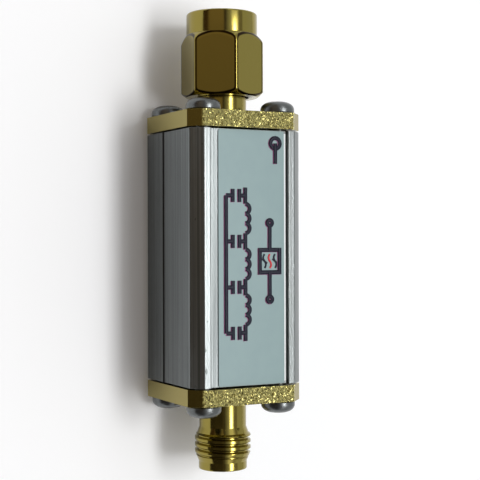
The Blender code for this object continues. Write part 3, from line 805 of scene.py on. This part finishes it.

# %% [markdown]
# ## The plug and its coupling nut
#
# The nut starts as a hexagonal bar, 8 mm across its flats. Turning leaves a round collar in front and
# cuts the bar's corners back into arcs, and tumbling before the plating rounds every edge. A Boolean
# of a turned blank and a bar gives the arcs, but a Bevel can't round them, because they run across
# narrow faces. So each point of the outside takes the smaller of two distances from the axis, the
# blank's and the bar's, and a smooth minimum blends the two where they meet. The rounded edges are
# what catches the light. Each flat also has a thin dark line just inside its outline, where the rounded
# edge mirrors the dark room. The nut's own gold paints that line as painted shade, from each point's
# distance to the flat's sides and ends.

# %% Coupling nut sizes
nut_low, nut_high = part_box("coupling_nut")
NUT_LENGTH = nut_high.x - nut_low.x
NUT_TURN = math.radians(-6.5)
NUT_PLACE = axis_place(nut_high.x, -1) @ Matrix.Rotation(NUT_TURN, 4, "Z")
NUT_APOTHEM = 4.0 * MM
NUT_CORNER = NUT_APOTHEM / math.cos(math.pi / 6)
NUT_EDGE_ROUND = 0.17 * MM
NUT_BLEND = 0.3 * MM
COLLAR_RADIUS = 3.925 * MM
COLLAR_LENGTH = 2.4 * MM
SHOULDER_LENGTH = 0.75 * MM
REAR_CUT = 0.65 * MM
REAR_CUT_LENGTH = 0.45 * MM
RIM_ROUND = 0.25 * MM
NUT_BORE = 2.8 * MM
RING_GROOVE_RADIUS = 3.25 * MM
RING_GROOVE = (1.55 * MM, 2.25 * MM)
GASKET_GROOVE_RADIUS = 3.05 * MM
GASKET_GROOVE = (3.95 * MM, 4.85 * MM)
print("The nut is", round(NUT_LENGTH / MM, 2), "mm long")

# %% Outside of the nut
FLAT_STEPS = 24
EDGE_STEPS = 8
ROUND_MIDDLE = (NUT_APOTHEM - NUT_EDGE_ROUND) / math.cos(math.pi / 6)
FLAT_END = math.atan(ROUND_MIDDLE * math.sin(math.pi / 6) / NUT_APOTHEM)


def hexagon_reach(angle):
    """The distance from the axis to a hexagonal bar with rounded edges, flats facing 0, 60 and so on."""
    from_flat = abs((angle + math.pi / 6) % (math.pi / 3) - math.pi / 6)
    if from_flat < FLAT_END:
        return NUT_APOTHEM / math.cos(from_flat)
    to_corner = math.pi / 6 - from_flat
    aside = ROUND_MIDDLE * math.sin(to_corner)
    return ROUND_MIDDLE * math.cos(to_corner) + math.sqrt(NUT_EDGE_ROUND**2 - aside**2)


def nut_angles():
    """Even steps over each flat, and finer ones round each edge."""
    angles = []
    for side in range(6):
        middle = math.pi / 3 * side
        edge = 2 * (math.pi / 6 - FLAT_END)
        angles += [middle - FLAT_END + 2 * FLAT_END * i / FLAT_STEPS for i in range(FLAT_STEPS)]
        angles += [middle + FLAT_END + edge * i / EDGE_STEPS for i in range(EDGE_STEPS)]
    return angles


def nut_reach(radius, angle):
    """The smooth minimum of the turned radius and the bar."""
    bar = hexagon_reach(angle)
    overlap = max(NUT_BLEND - abs(bar - radius), 0) / NUT_BLEND
    return min(bar, radius) - overlap * overlap * NUT_BLEND / 4


print("Half a flat spans", round(math.degrees(FLAT_END), 1), "degrees, half an edge the rest of 30")


# %% Profile of the nut
PROFILE_STEP = 0.05 * MM


def stepped(points):
    """The same path with points added, so that no step is longer than the profile's step."""
    path = [points[0]]
    for start, end in zip(points, points[1:]):
        count = max(1, math.ceil(math.dist(start, end) / PROFILE_STEP))
        for i in range(1, count + 1):
            path.append(tuple(s + (e - s) * i / count for s, e in zip(start, end)))
    return path


def round_corner(x, y, radius, steps=5):
    """Points on a corner's arc about (x, y), from straight up to straight out."""
    angles = [math.pi / 2 * (1 - i / steps) for i in range(steps + 1)]
    return [(x + radius * math.cos(a), y + radius * math.sin(a)) for a in angles]


def nut_blank():
    shoulder = NUT_LENGTH - COLLAR_LENGTH
    rim = round_corner(COLLAR_RADIUS - RIM_ROUND, NUT_LENGTH - RIM_ROUND, RIM_ROUND)
    front = [
        (COLLAR_RADIUS, shoulder),
        (NUT_CORNER, shoulder - SHOULDER_LENGTH),
        (NUT_CORNER + NUT_BLEND, shoulder - SHOULDER_LENGTH - NUT_BLEND),
    ]
    rear = [
        (NUT_CORNER + NUT_BLEND, REAR_CUT_LENGTH + NUT_BLEND / 2),
        (NUT_CORNER, REAR_CUT_LENGTH),
        (NUT_CORNER - REAR_CUT, 0),
    ]
    ring_low, ring_high = RING_GROOVE
    gasket_low, gasket_high = GASKET_GROOVE
    inside = [
        (NUT_BORE + RIM_ROUND, 0),
        (NUT_BORE, RIM_ROUND),
        (NUT_BORE, ring_low),
        (RING_GROOVE_RADIUS, ring_low),
        (RING_GROOVE_RADIUS, ring_high),
        (NUT_BORE, ring_high),
        (NUT_BORE, gasket_low),
        (GASKET_GROOVE_RADIUS, gasket_low),
        (GASKET_GROOVE_RADIUS, gasket_high),
        (NUT_BORE, gasket_high + GASKET_GROOVE_RADIUS - NUT_BORE),
        (NUT_BORE, NUT_LENGTH - THREAD_DEPTH),
        (NUT_BORE + THREAD_DEPTH, NUT_LENGTH),
    ]
    profile = rim + stepped(front) + stepped(rear) + inside
    return turned("nut_shell", profile, NUT_PLACE, nut_gold, nut_angles(), nut_reach)


# %% Painted shade line on the flats
EDGE_SHADE_HEX = "2C1F0C"
LINE_INNER = 0.19 * MM
LINE_OUTER = 0.02 * MM
LINE_CORNER = 0.5 * MM


def distance_to_ends(tree, radius, height):
    """How far a point on a flat is from the arc at its front or at its rear, whichever is nearer."""
    front = [radius, COLLAR_RADIUS, NUT_CORNER, SHOULDER_LENGTH, 0.0]
    cone = add(tree, "ShaderNodeMapRange", front)
    cone_start = NUT_LENGTH - COLLAR_LENGTH - SHOULDER_LENGTH
    cone_height = add(tree, "ShaderNodeMath", [cone, cone_start], operation="ADD")
    to_front = add(tree, "ShaderNodeMath", [cone_height, height], operation="SUBTRACT")
    rear = [radius, NUT_CORNER - REAR_CUT, NUT_CORNER, 0.0, REAR_CUT_LENGTH]
    cut_height = add(tree, "ShaderNodeMapRange", rear)
    to_rear = add(tree, "ShaderNodeMath", [height, cut_height], operation="SUBTRACT")
    return add(tree, "ShaderNodeMath", [to_front, to_rear], operation="MINIMUM")


# %% Gold of the nut
def milled_gold():
    """Turned gold with a dark line painted just inside the outline of each flat: painted shade, the dark
    room mirrored in the rounded edge. Each step of the sum has a name, its operation, and terms that are
    numbers or the names of earlier steps."""
    material = gold.copy()
    material.name = "gold_plate_on_milled_flats"
    tree = material.node_tree
    place = add(tree, "ShaderNodeTexCoord").outputs["Object"]
    sides = add(tree, "ShaderNodeSeparateXYZ", [place]).outputs
    steps = (
        ("upward", "SUBTRACT", "Z", AXIS_Z),
        ("nearward", "MULTIPLY", "Y", -1.0),
        ("height", "SUBTRACT", nut_high.x, "X"),
        ("square", "MULTIPLY", "upward", "upward"),
        ("squares", "MULTIPLY_ADD", "nearward", "nearward", "square"),
        ("radius", "SQRT", "squares"),
        ("angle", "ARCTAN2", "upward", "nearward"),
        ("turned back", "SUBTRACT", "angle", NUT_TURN),
        ("on its flat", "WRAP", "turned back", math.pi / 6, -math.pi / 6),
        ("off the middle", "ABSOLUTE", "on its flat"),
        ("sine", "SINE", "off the middle"),
        ("aside", "MULTIPLY", "sine", "radius"),
        ("to side", "SUBTRACT", NUT_APOTHEM * math.tan(FLAT_END), "aside"),
    )
    known = dict(sides.items())
    for name, operation, *terms in steps:
        values = [known.get(term, term) for term in terms]
        known[name] = add(tree, "ShaderNodeMath", values, operation=operation)
    gaps = [known["to side"], distance_to_ends(tree, known["radius"], known["height"]), LINE_CORNER]
    gap = add(tree, "ShaderNodeMath", gaps, operation="SMOOTH_MIN")
    outer = add(tree, "ShaderNodeMapRange", [gap, 0.0, LINE_OUTER, 0.0, 1.0])
    inner = add(tree, "ShaderNodeMapRange", [gap, LINE_INNER * 0.6, LINE_INNER, 1.0, 0.0])
    line = add(tree, "ShaderNodeMath", [outer, inner], operation="MULTIPLY")
    # The dark line is painted shade, the dark room mirrored in each flat's rounded edge
    dress(tree, [GOLD_HEX, (line, EDGE_SHADE_HEX)])
    return material


nut_gold = milled_gold()
print("Milled gold has", len(nut_gold.node_tree.nodes), "nodes")

# %% The nut
nut_shell = nut_blank()
thread_rear = GASKET_GROOVE[1]
cut_thread(
    nut_shell, "nut_thread_tool", NUT_BORE, NUT_LENGTH - thread_rear, -MOUTH_OVERRUN,
    THREAD_RADIUS - NUT_BORE, NUT_PLACE @ Matrix.Translation((0, 0, thread_rear + PITCH / 2)),
)
shade(nut_shell)
print("Nut:", len(nut_shell.data.polygons), "faces")

# %% Plug body
BARREL_RADIUS = 2.7 * MM
CONTACT_RADIUS = 2.295 * MM
PLUG_REFERENCE = 8.7 * MM
PLUG_SHOULDER = 6.1 * MM
BARREL_GROOVE_RADIUS = 2.25 * MM
BARREL_GROOVE = (3.55 * MM, 4.35 * MM)
EDGE_BREAK = 0.06 * MM


def plug_barrel():
    groove_low, groove_high = BARREL_GROOVE
    profile = [
        (CONTACT_RADIUS - EDGE_BREAK, PLUG_REFERENCE),
        (CONTACT_RADIUS, PLUG_REFERENCE - EDGE_BREAK),
        (CONTACT_RADIUS, PLUG_SHOULDER),
        (BARREL_RADIUS - EDGE_BREAK, PLUG_SHOULDER),
        (BARREL_RADIUS, PLUG_SHOULDER - EDGE_BREAK),
        (BARREL_RADIUS, groove_high),
        (BARREL_GROOVE_RADIUS, groove_high),
        (BARREL_GROOVE_RADIUS, groove_low),
        (BARREL_RADIUS, groove_low),
        *fillet(BARREL_RADIUS, NECK_FILLET),
        (BARREL_RADIUS + NECK_FILLET, BARREL_REAR),
        (LINE_BORE, BARREL_REAR),
        (LINE_BORE, PLUG_REFERENCE),
    ]
    return turned("plug_barrel", profile, PLUG_PLACE, gold)


plug_shell = plug_barrel()
shade(plug_shell)
plug_flange = plate_of("plug_body", "plug_flange", PLUG_PLACE)
print("Plug barrel:", len(plug_shell.data.polygons), "faces")

# %% [markdown]
# ## Case shells
#
# The half shells keep the shape of their solids. An extrusion's edges are never knife-sharp, and an edge
# that is rounded by about a tenth of a millimetre draws the thin bright lines along the ribs. A Bevel
# modifier on a merged copy gives that, and the edges' weights leave the other ones sharper.

# %% Case shells
CASE_EDGE_ROUND = 0.05 * MM
RIB_EDGE_ROUND = 0.12 * MM
RIB_ZONE = 1.3 * MM
SHARP_TURN = math.radians(35)


def case_shell(node, name):
    piece = merged_copy(node, name, aluminium)
    shape = bmesh.new()
    shape.from_mesh(piece.data)
    weight = shape.edges.layers.float.new("bevel_weight_edge")
    outer = case_high.z - AXIS_Z - RIB_ZONE
    for edge in shape.edges:
        if edge.calc_face_angle(0) > SHARP_TURN:
            first, last = (vertex.co for vertex in edge.verts)
            along = abs(first.x - last.x) > CASE_EDGE_ROUND
            outside = min(abs(first.z - AXIS_Z), abs(last.z - AXIS_Z)) > outer
            edge[weight] = 1.0 if along and outside else CASE_EDGE_ROUND / RIB_EDGE_ROUND
    shape.to_mesh(piece.data)
    shape.free()
    bevel = piece.modifiers.new("Rounded edges", "BEVEL")
    bevel.width = RIB_EDGE_ROUND
    bevel.segments = 3
    bevel.limit_method = "WEIGHT"
    apply_modifiers(piece)
    shade(piece)
    print(name, "has", len(piece.data.polygons), "faces")
    return piece


upper_case = case_shell("upper_shell", "upper_case")
lower_case = case_shell("lower_shell", "lower_case")

# %% [markdown]
# ## Screws
#
# Eight pan-head screws hold the flanges. They are the same part, so Geometry Nodes put one mesh on eight
# points and turn each by a random angle, because no one lines up the cross recesses. The recess is cut
# with a tapered cross, like the punch that forms it.

# %% One screw
HEAD_RADIUS = 1.85 * MM
HEAD_HEIGHT = 1.25 * MM
HEAD_RIM = 0.4 * MM
HEAD_CROWN = 0.6 * MM
HEAD_STEPS = 8
SHANK_RADIUS = 0.95 * MM
SCREW_LENGTH = 6.0 * MM
SCREW_STEPS = 64
SHANK_TIP = 0.3 * MM


def screw_blank():
    profile = [(0, HEAD_HEIGHT)]
    for i in range(HEAD_STEPS + 1):
        angle = math.pi / 2 * (1 - i / HEAD_STEPS)
        radius = HEAD_CROWN + (HEAD_RADIUS - HEAD_CROWN) * math.cos(angle)
        profile.append((radius, HEAD_RIM + (HEAD_HEIGHT - HEAD_RIM) * math.sin(angle)))
    profile += [
        (HEAD_RADIUS, EDGE_BREAK),
        (HEAD_RADIUS - EDGE_BREAK, 0),
        (SHANK_RADIUS, 0),
        (SHANK_RADIUS, SHANK_TIP - SCREW_LENGTH),
        (SHANK_RADIUS - SHANK_TIP, -SCREW_LENGTH),
        (0, -SCREW_LENGTH),
    ]
    return turned("screw", profile, Matrix(), nickel, even_angles(SCREW_STEPS))


screw = screw_blank()
print("Screw blank:", len(screw.data.polygons), "faces")

# %% Cross recess
CROSS_SPAN = 0.95 * MM
CROSS_ARM = 0.25 * MM
CROSS_DEPTH = 0.75 * MM
CROSS_TAPER = 0.45


def cross_punch():
    quarter = [(CROSS_ARM, CROSS_ARM), (CROSS_SPAN, CROSS_ARM), (CROSS_SPAN, -CROSS_ARM)]
    outline = []
    for turn in range(4):
        rotation = Matrix.Rotation(-turn * math.pi / 2, 2)
        outline += [tuple(rotation @ Vector(point)) for point in quarter]
    floor = HEAD_HEIGHT - CROSS_DEPTH
    punch = prism("cross_punch", outline, floor, HEAD_HEIGHT + CROSS_DEPTH, Matrix(), nickel)
    for vertex in punch.data.vertices:
        if vertex.co.z < HEAD_HEIGHT:
            vertex.co.x *= CROSS_TAPER
            vertex.co.y *= CROSS_TAPER
    return punch


cut(screw, cross_punch())
print("One screw:", len(screw.data.polygons), "faces")

# %% Eight screws
SEAT_GAP = 0.1 * MM
SCREW_OFFSET = 4.5 * MM
RECESS_SEED = 4


def screw_seats():
    """Eight points under the heads, each with the direction that its head faces."""
    seats = bpy.data.meshes.new("screw_seats")
    points = []
    facing = []
    for face, direction in ((PLUG_FACE_X - SEAT_GAP, -1.0), (JACK_FACE_X + SEAT_GAP, 1.0)):
        for y, z in rectangle(SCREW_OFFSET, SCREW_OFFSET):
            points.append((face, y, AXIS_Z + z))
            facing += [direction, 0.0, 0.0]
    seats.from_pydata(points, [], [])
    seats.attributes.new("facing", "FLOAT_VECTOR", "POINT").data.foreach_set("vector", facing)
    return seats


def screw_tree():
    inputs = {"Screw": "Object", "Random turn": "Float", "Material": "Material"}
    tree, size = new_tree("Screws on seats", inputs)
    head = add(tree, "GeometryNodeObjectInfo", {"Object": size["Screw"], "As Instance": True})
    name = {"Name": "facing"}
    facing = add(tree, "GeometryNodeInputNamedAttribute", name, data_type="FLOAT_VECTOR")
    upright = add(tree, "FunctionNodeAlignRotationToVector", {"Vector": facing}, axis="Z")
    random_turn = {"Max": size["Random turn"], "Seed": RECESS_SEED}
    angle = add(tree, "FunctionNodeRandomValue", random_turn)
    about_z = {"Axis": (0, 0, 1), "Angle": angle}
    spin = add(tree, "FunctionNodeAxisAngleToRotation", about_z)
    turn = {"Rotation": upright, "Rotate By": spin}
    rotation = add(tree, "FunctionNodeRotateRotation", turn, rotation_space="LOCAL")
    places = {"Points": size["Geometry"], "Instance": head.outputs["Geometry"], "Rotation": rotation}
    screws = add(tree, "GeometryNodeInstanceOnPoints", places)
    finish_tree(tree, screws, size["Material"])
    return tree


screw_values = {"Screw": screw, "Random turn": 2 * math.pi, "Material": nickel}
screw_mesh = run_tree("flange_screws", screw_tree(), screw_seats(), screw_values)
flange_screws = add_piece("flange_screws", screw_mesh, nickel)
shade(flange_screws)
bpy.data.objects.remove(screw)
print("Screws:", len(flange_screws.data.polygons), "faces")

# %% [markdown]
# ## Label and print
#
# The label is a film, about 8 mm wide, that fills the recess from end to end. A narrow white strip
# beside
# its far edge is painted highlight: it lies on the floor of the recess, where the lamp above lights it.
# The label's print is the plain symbols of a circuit drawing: a ladder of three coils with capacitors to
# ground, a filter's box with three waves, and a coaxial port. The print of a cheap toner label is a
# little out of register, so a magenta edge shows beside the navy. An image could give all this, but
# strokes of real ink stay sharp from close by, so a tree sweeps a flat section along them.

# %% Label film
LABEL_CORNER = 0.25 * MM
HIGHLIGHT_STRIP = 0.17 * MM
label_low, label_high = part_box("label")
label_middle = (label_low + label_high) / 2
label_half = (label_high - label_low) / 2


def rounded_rectangle(half_x, half_y, corner, steps=6):
    outline = []
    for quarter, (x, y) in enumerate(rectangle(half_x - corner, half_y - corner)):
        for i in range(steps + 1):
            angle = math.pi / 2 * (quarter + i / steps)
            outline.append((x + corner * math.cos(angle), y + corner * math.sin(angle)))
    return outline


def film_piece(name, outline, y, material):
    place = Matrix.Translation((label_middle.x, y, label_middle.z))
    print(name, "is", round(2 * max(point[1] for point in outline) / MM, 2), "mm wide")
    return prism(name, outline, -label_half.z, label_half.z, place, material)


sheet_outline = rounded_rectangle(label_half.x, label_half.y, LABEL_CORNER)
highlight_outline = rectangle(label_half.x - LABEL_CORNER, HIGHLIGHT_STRIP / 2)
label_sheet = film_piece("label_sheet", sheet_outline, label_middle.y, film)
# The white strip is painted highlight, standing for the lit floor of the recess beyond the label's far
# edge
label_edge = film_piece("label_edge", highlight_outline, label_high.y + HIGHLIGHT_STRIP / 2, highlight_film)
shade(label_sheet)

# %% Strokes of the print
STROKE = 0.45 * MM
FINE_STROKE = 0.22 * MM
INK = 0.02 * MM
LAYER = 0.0006 * MM


def line(*points):
    return [Vector(point) for point in points]


def arc(x, y, radius, start, end, steps=16):
    """Points on an arc between two angles in degrees."""
    angles = [math.radians(start + (end - start) * i / steps) for i in range(steps + 1)]
    return [Vector((x + radius * math.cos(a), y + radius * math.sin(a))) for a in angles]


# %% The ladder and the port
def ladder():
    """Three coils in line, and a capacitor to ground before, between and after them."""
    left, right, top, ground = -5.7, 10.6, -0.45, -2.75
    plates, half_plate = (-1.15, -1.95), 0.7
    coils, loops, radius = 3, 3, 0.52
    coil = 2 * radius * loops
    gap = (right - left - coils * coil) / (coils + 1)
    strokes = []
    for stage in range(coils + 1):
        start = left + stage * (gap + coil)
        middle = start + gap / 2
        strokes.append(line((start, top), (start + gap, top)))
        strokes.append(line((middle, top), (middle, plates[0])))
        for plate in plates:
            strokes.append(line((middle - half_plate, plate), (middle + half_plate, plate)))
        strokes.append(line((middle, plates[1]), (middle, ground)))
        for loop in range(loops if stage < coils else 0):
            strokes.append(arc(start + gap + (2 * loop + 1) * radius, top, radius, 180, 0))
    strokes.append(line((left + gap / 2, ground), (right - gap / 2, ground)))
    return strokes


def port():
    """A coaxial port: a ring round a point, with a lead."""
    x, y, radius, lead_end = -10.5, 3.2, 0.58, -8.3
    return [arc(x, y, radius, 0, 360), line((x, y), (lead_end, y))]


print("Ladder:", len(ladder()), "strokes, port:", len(port()))

# %% The filter's symbol
BOX_X, BOX_Y, BOX_HALF = 2.15, 2.5, 1.2
WAVE_HALF, WAVE_HEIGHT, WAVE_SPACING = 0.75, 0.16, 0.64


def filter_box():
    """The box of a filter's symbol, with a lead and a terminal on each side."""
    reach, terminal = 3.8, 0.3
    over = STROKE / MM / 2
    strokes = []
    for side in (-1, 1):
        edge_x, edge_y = BOX_X + side * BOX_HALF, BOX_Y + side * BOX_HALF
        strokes.append(line((BOX_X - BOX_HALF - over, edge_y), (BOX_X + BOX_HALF + over, edge_y)))
        strokes.append(line((edge_x, BOX_Y - BOX_HALF), (edge_x, BOX_Y + BOX_HALF)))
        strokes.append(line((edge_x, BOX_Y), (BOX_X + side * reach, BOX_Y)))
        strokes.append(arc(BOX_X + side * (reach + terminal), BOX_Y, terminal, 0, 360))
    return strokes


def wave(y, steps=24):
    turns = [2 * i / steps - 1 for i in range(steps + 1)]
    return [Vector((BOX_X + WAVE_HALF * t, y + WAVE_HEIGHT * math.sin(math.pi * t))) for t in turns]


def stopped_waves():
    """The upper and lower waves of the filter's symbol, each crossed out."""
    aside, up = 0.25, 0.32
    strokes = []
    for y in (BOX_Y - WAVE_SPACING, BOX_Y + WAVE_SPACING):
        strokes.append(wave(y))
        strokes.append(line((BOX_X - aside, y - up), (BOX_X + aside, y + up)))
    return strokes


# %% Sweeping the strokes
def stroke_mesh(name, strokes, level):
    """Edges along every stroke, on the label. Places are in millimetres along and across the part.
    Each stroke lies a hair above the one before, because faces in one plane flicker where they cross."""
    points = []
    edges = []
    for number, stroke in enumerate(strokes):
        first = len(points)
        height = level + number * LAYER
        points += [(point.x * MM, point.y * MM, height) for point in stroke]
        edges += [(i, i + 1) for i in range(first, len(points) - 1)]
    mesh = bpy.data.meshes.new(name)
    mesh.from_pydata(points, edges, [])
    return mesh


def stroke_tree():
    inputs = {"Width": "Float", "Thickness": "Float", "Shift": "Vector", "Material": "Material"}
    tree, size = new_tree("Printed strokes", inputs)
    shift = {"Geometry": size["Geometry"], "Offset": size["Shift"]}
    moved = add(tree, "GeometryNodeSetPosition", shift)
    paths = add(tree, "GeometryNodeMeshToCurve", [moved])
    flat = add(tree, "GeometryNodeSetCurveNormal", [paths], mode="Z_UP")
    sizes = {"Width": size["Width"], "Height": size["Thickness"]}
    section = add(tree, "GeometryNodeCurvePrimitiveQuadrilateral", sizes, mode="RECTANGLE")
    sweep = {"Curve": flat, "Profile Curve": section, "Fill Caps": True}
    finish_tree(tree, add(tree, "GeometryNodeCurveToMesh", sweep), size["Material"])
    return tree


stroke_sweep = stroke_tree()
print("Stroke tree has", len(stroke_sweep.nodes), "nodes")

# %% Print
PRINT_LIFT = 0.006 * MM
MISREGISTER = (0.03 * MM, -0.07 * MM, 0.0)


def printed(name, drawing, width, ink, shift=(0, 0, 0), lift=PRINT_LIFT):
    values = {"Width": width, "Thickness": INK, "Shift": shift, "Material": ink}
    mesh = run_tree(name, stroke_sweep, stroke_mesh(name, drawing, label_high.z + lift), values)
    print(name, "has", len(drawing), "strokes and", len(mesh.polygons), "faces")
    return add_piece(name, mesh, ink)


bold = ladder() + filter_box() + port()
prints = [
    printed("magenta_edges", bold, STROKE, magenta_toner, MISREGISTER, 0.0),
    printed("bold_print", bold, STROKE, navy_toner),
    printed("fine_print", stopped_waves(), FINE_STROKE, navy_toner),
    printed("pass_wave", [wave(BOX_Y)], FINE_STROKE, red_toner),
]

# %% [markdown]
# ## Which piece moves with which solid
#
# The housing is one body and the coupling nut the other. Every piece rides on its body by name, and one
# that shows a solid in more detail replaces that solid.

# %% Bodies and slots
SCREWS = [f"{end}_screw_{number}" for end in ("plug", "jack") for number in (1, 2, 3, 4)]
RIDES = [
    (upper_case, "housing", "case", ["upper_shell"]),
    (lower_case, "housing", "case", ["lower_shell"]),
    (jack_flange, "housing", "plated_body", ["jack_body"]),
    (jack_shell, "housing", "plated_body", []),
    (plug_flange, "housing", "plated_body", ["plug_body"]),
    (plug_shell, "housing", "plated_body", []),
    (nut_shell, "coupling_nut", "plated_nut", ["coupling_nut"]),
    (label_sheet, "housing", "label", ["label"]),
    (label_edge, "housing", "label", []),
    (flange_screws, "housing", "screw", SCREWS),
]
RIDES += [(piece, "housing", "label", []) for piece in prints]
for piece, body, finish, nodes in RIDES:
    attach(piece, body)
    if nodes:
        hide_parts(*nodes)
print("Pieces:", len(RIDES))

# %% [markdown]
# ## Floor and light
#
# The filter lies on a plain white table. The photograph was lit by one bright window or lamp almost
# straight above it, and the room was dark on the camera's side, which is what gives polished metal its
# contrast. So there is one long softbox above, brightest in the middle, and a weak one at each end. The
# sky is in bands about the coaxial axis, mostly dark on the near side, darker still at the jack's end,
# and pale on the far side. The round collar of the nut mirrors all of them side by side, so their
# places were found there. The table gives off a little light that only the camera and mirrors see, so
# it shows white and keeps the shadow.

# %% Floor
FLOOR_HALF = 3.0
TABLE_LIFT = 0.06

floor_mesh = bpy.data.meshes.new("floor")
floor_corners = [(x, y, 0) for x, y in rectangle(FLOOR_HALF, FLOOR_HALF)]
floor_mesh.from_pydata(floor_corners, [], [(0, 1, 2, 3)])
floor = new_object("floor", floor_mesh)
plain_white = {"Specular IOR Level": 0.1, "Emission Color": linear("FFFFFF")}
table, table_tree = new_material("white_table", "FAFBFD", 0.7, finish=plain_white)
rays = add(table_tree, "ShaderNodeLightPath").outputs
seen = rays["Is Camera Ray"]
for kind in ("Is Glossy Ray", "Is Transmission Ray"):
    seen = add(table_tree, "ShaderNodeMath", [seen, rays[kind]], operation="MAXIMUM")
lift = add(table_tree, "ShaderNodeMath", [seen, TABLE_LIFT], operation="MULTIPLY")
feed(table_tree, table_tree.nodes["Principled BSDF"], {"Emission Strength": lift})
floor_mesh.materials.append(table)
print("The table is", 2 * FLOOR_HALF, "m wide")

# %% Lights
LIGHT_DISTANCE = 2.0


def softbox(name, lean, swing, length, width, power):
    """A white area light that faces the filter. Lean is the angle from straight up towards +Y, and
    swing turns it about Z, towards +X. Its length lies along X where swing is 0."""
    turn = Matrix.Rotation(-math.radians(swing), 4, "Z") @ Matrix.Rotation(-math.radians(lean), 4, "X")
    lamp = bpy.data.lights.new(name, "AREA")
    lamp.shape = "RECTANGLE"
    lamp.size = length
    lamp.size_y = width
    lamp.energy = power
    place = Matrix.Translation((0, 0, AXIS_Z)) @ turn @ Matrix.Translation((0, 0, LIGHT_DISTANCE))
    new_object(name, lamp).matrix_world = place
    print(name, "gives", power, "W")


softbox("overhead_softbox", 17, 0, 1.25, 0.74, 5.5)
softbox("overhead_tube", 16, 0, 1.0, 0.34, 13.5)
softbox("plug_end_fill", 48, -58, 0.9, 0.9, 1.2)
softbox("jack_end_fill", 48, 58, 0.9, 0.9, 1.2)

# %% Sky
# Each band has its colour and the angles in degrees at which it starts to show and is full
SKY_START = "5E4A3E"
SKY_BANDS = [
    ("B6A38A", -70, -60),
    ("5E5756", -27, -22),
    ("E2E3E4", -18, 3),
    ("AFABA6", 26, 32),
    ("EFF2F2", 46, 50),
]
NEAR_SIDE_END = (-27, -22)
JACK_HALF_START = (-0.25, 0.2)
JACK_HALF_HEX = "4A443F"
LAMP_START = (4, 8)
LAMP_END = (24, 28)
SKY_STRENGTH = 0.8

world = bpy.data.worlds.new("studio")
bpy.context.scene.world = world
world.use_nodes = True
sky = world.node_tree
direction = add(sky, "ShaderNodeTexCoord").outputs["Generated"]
sides = add(sky, "ShaderNodeSeparateXYZ", [direction]).outputs
turn = add(sky, "ShaderNodeMath", [sides["Y"], sides["Z"]], operation="ARCTAN2")
around = add(sky, "ShaderNodeMath", [turn], operation="DEGREES")
bands = []
for band_colour, low, high in SKY_BANDS:
    band = add(sky, "ShaderNodeMapRange", [around, low, high, 0.0, 1.0])
    bands.append((band, band_colour))
near_side = add(sky, "ShaderNodeMapRange", [around, *NEAR_SIDE_END, 1.0, 0.0])
jack_half = add(sky, "ShaderNodeMapRange", [sides["X"], *JACK_HALF_START, 0.0, 1.0])
near_jack = add(sky, "ShaderNodeMath", [near_side, jack_half], operation="MULTIPLY")
mixed = layered(sky, SKY_START, *bands, (near_jack, JACK_HALF_HEX))

# The sky is brighter behind the lamps
lamp_start = add(sky, "ShaderNodeMapRange", [around, *LAMP_START, 0.0, 1.0])
lamp_end = add(sky, "ShaderNodeMapRange", [around, *LAMP_END, 1.0, 0.0])
strength = add(sky, "ShaderNodeMath", [lamp_start, lamp_end, SKY_STRENGTH], operation="MULTIPLY_ADD")
feed(sky, sky.nodes["Background"], {"Color": mixed, "Strength": strength})
bpy.context.scene.view_settings.view_transform = "Standard"
print("Sky:", len(bands), "bands over the first colour")
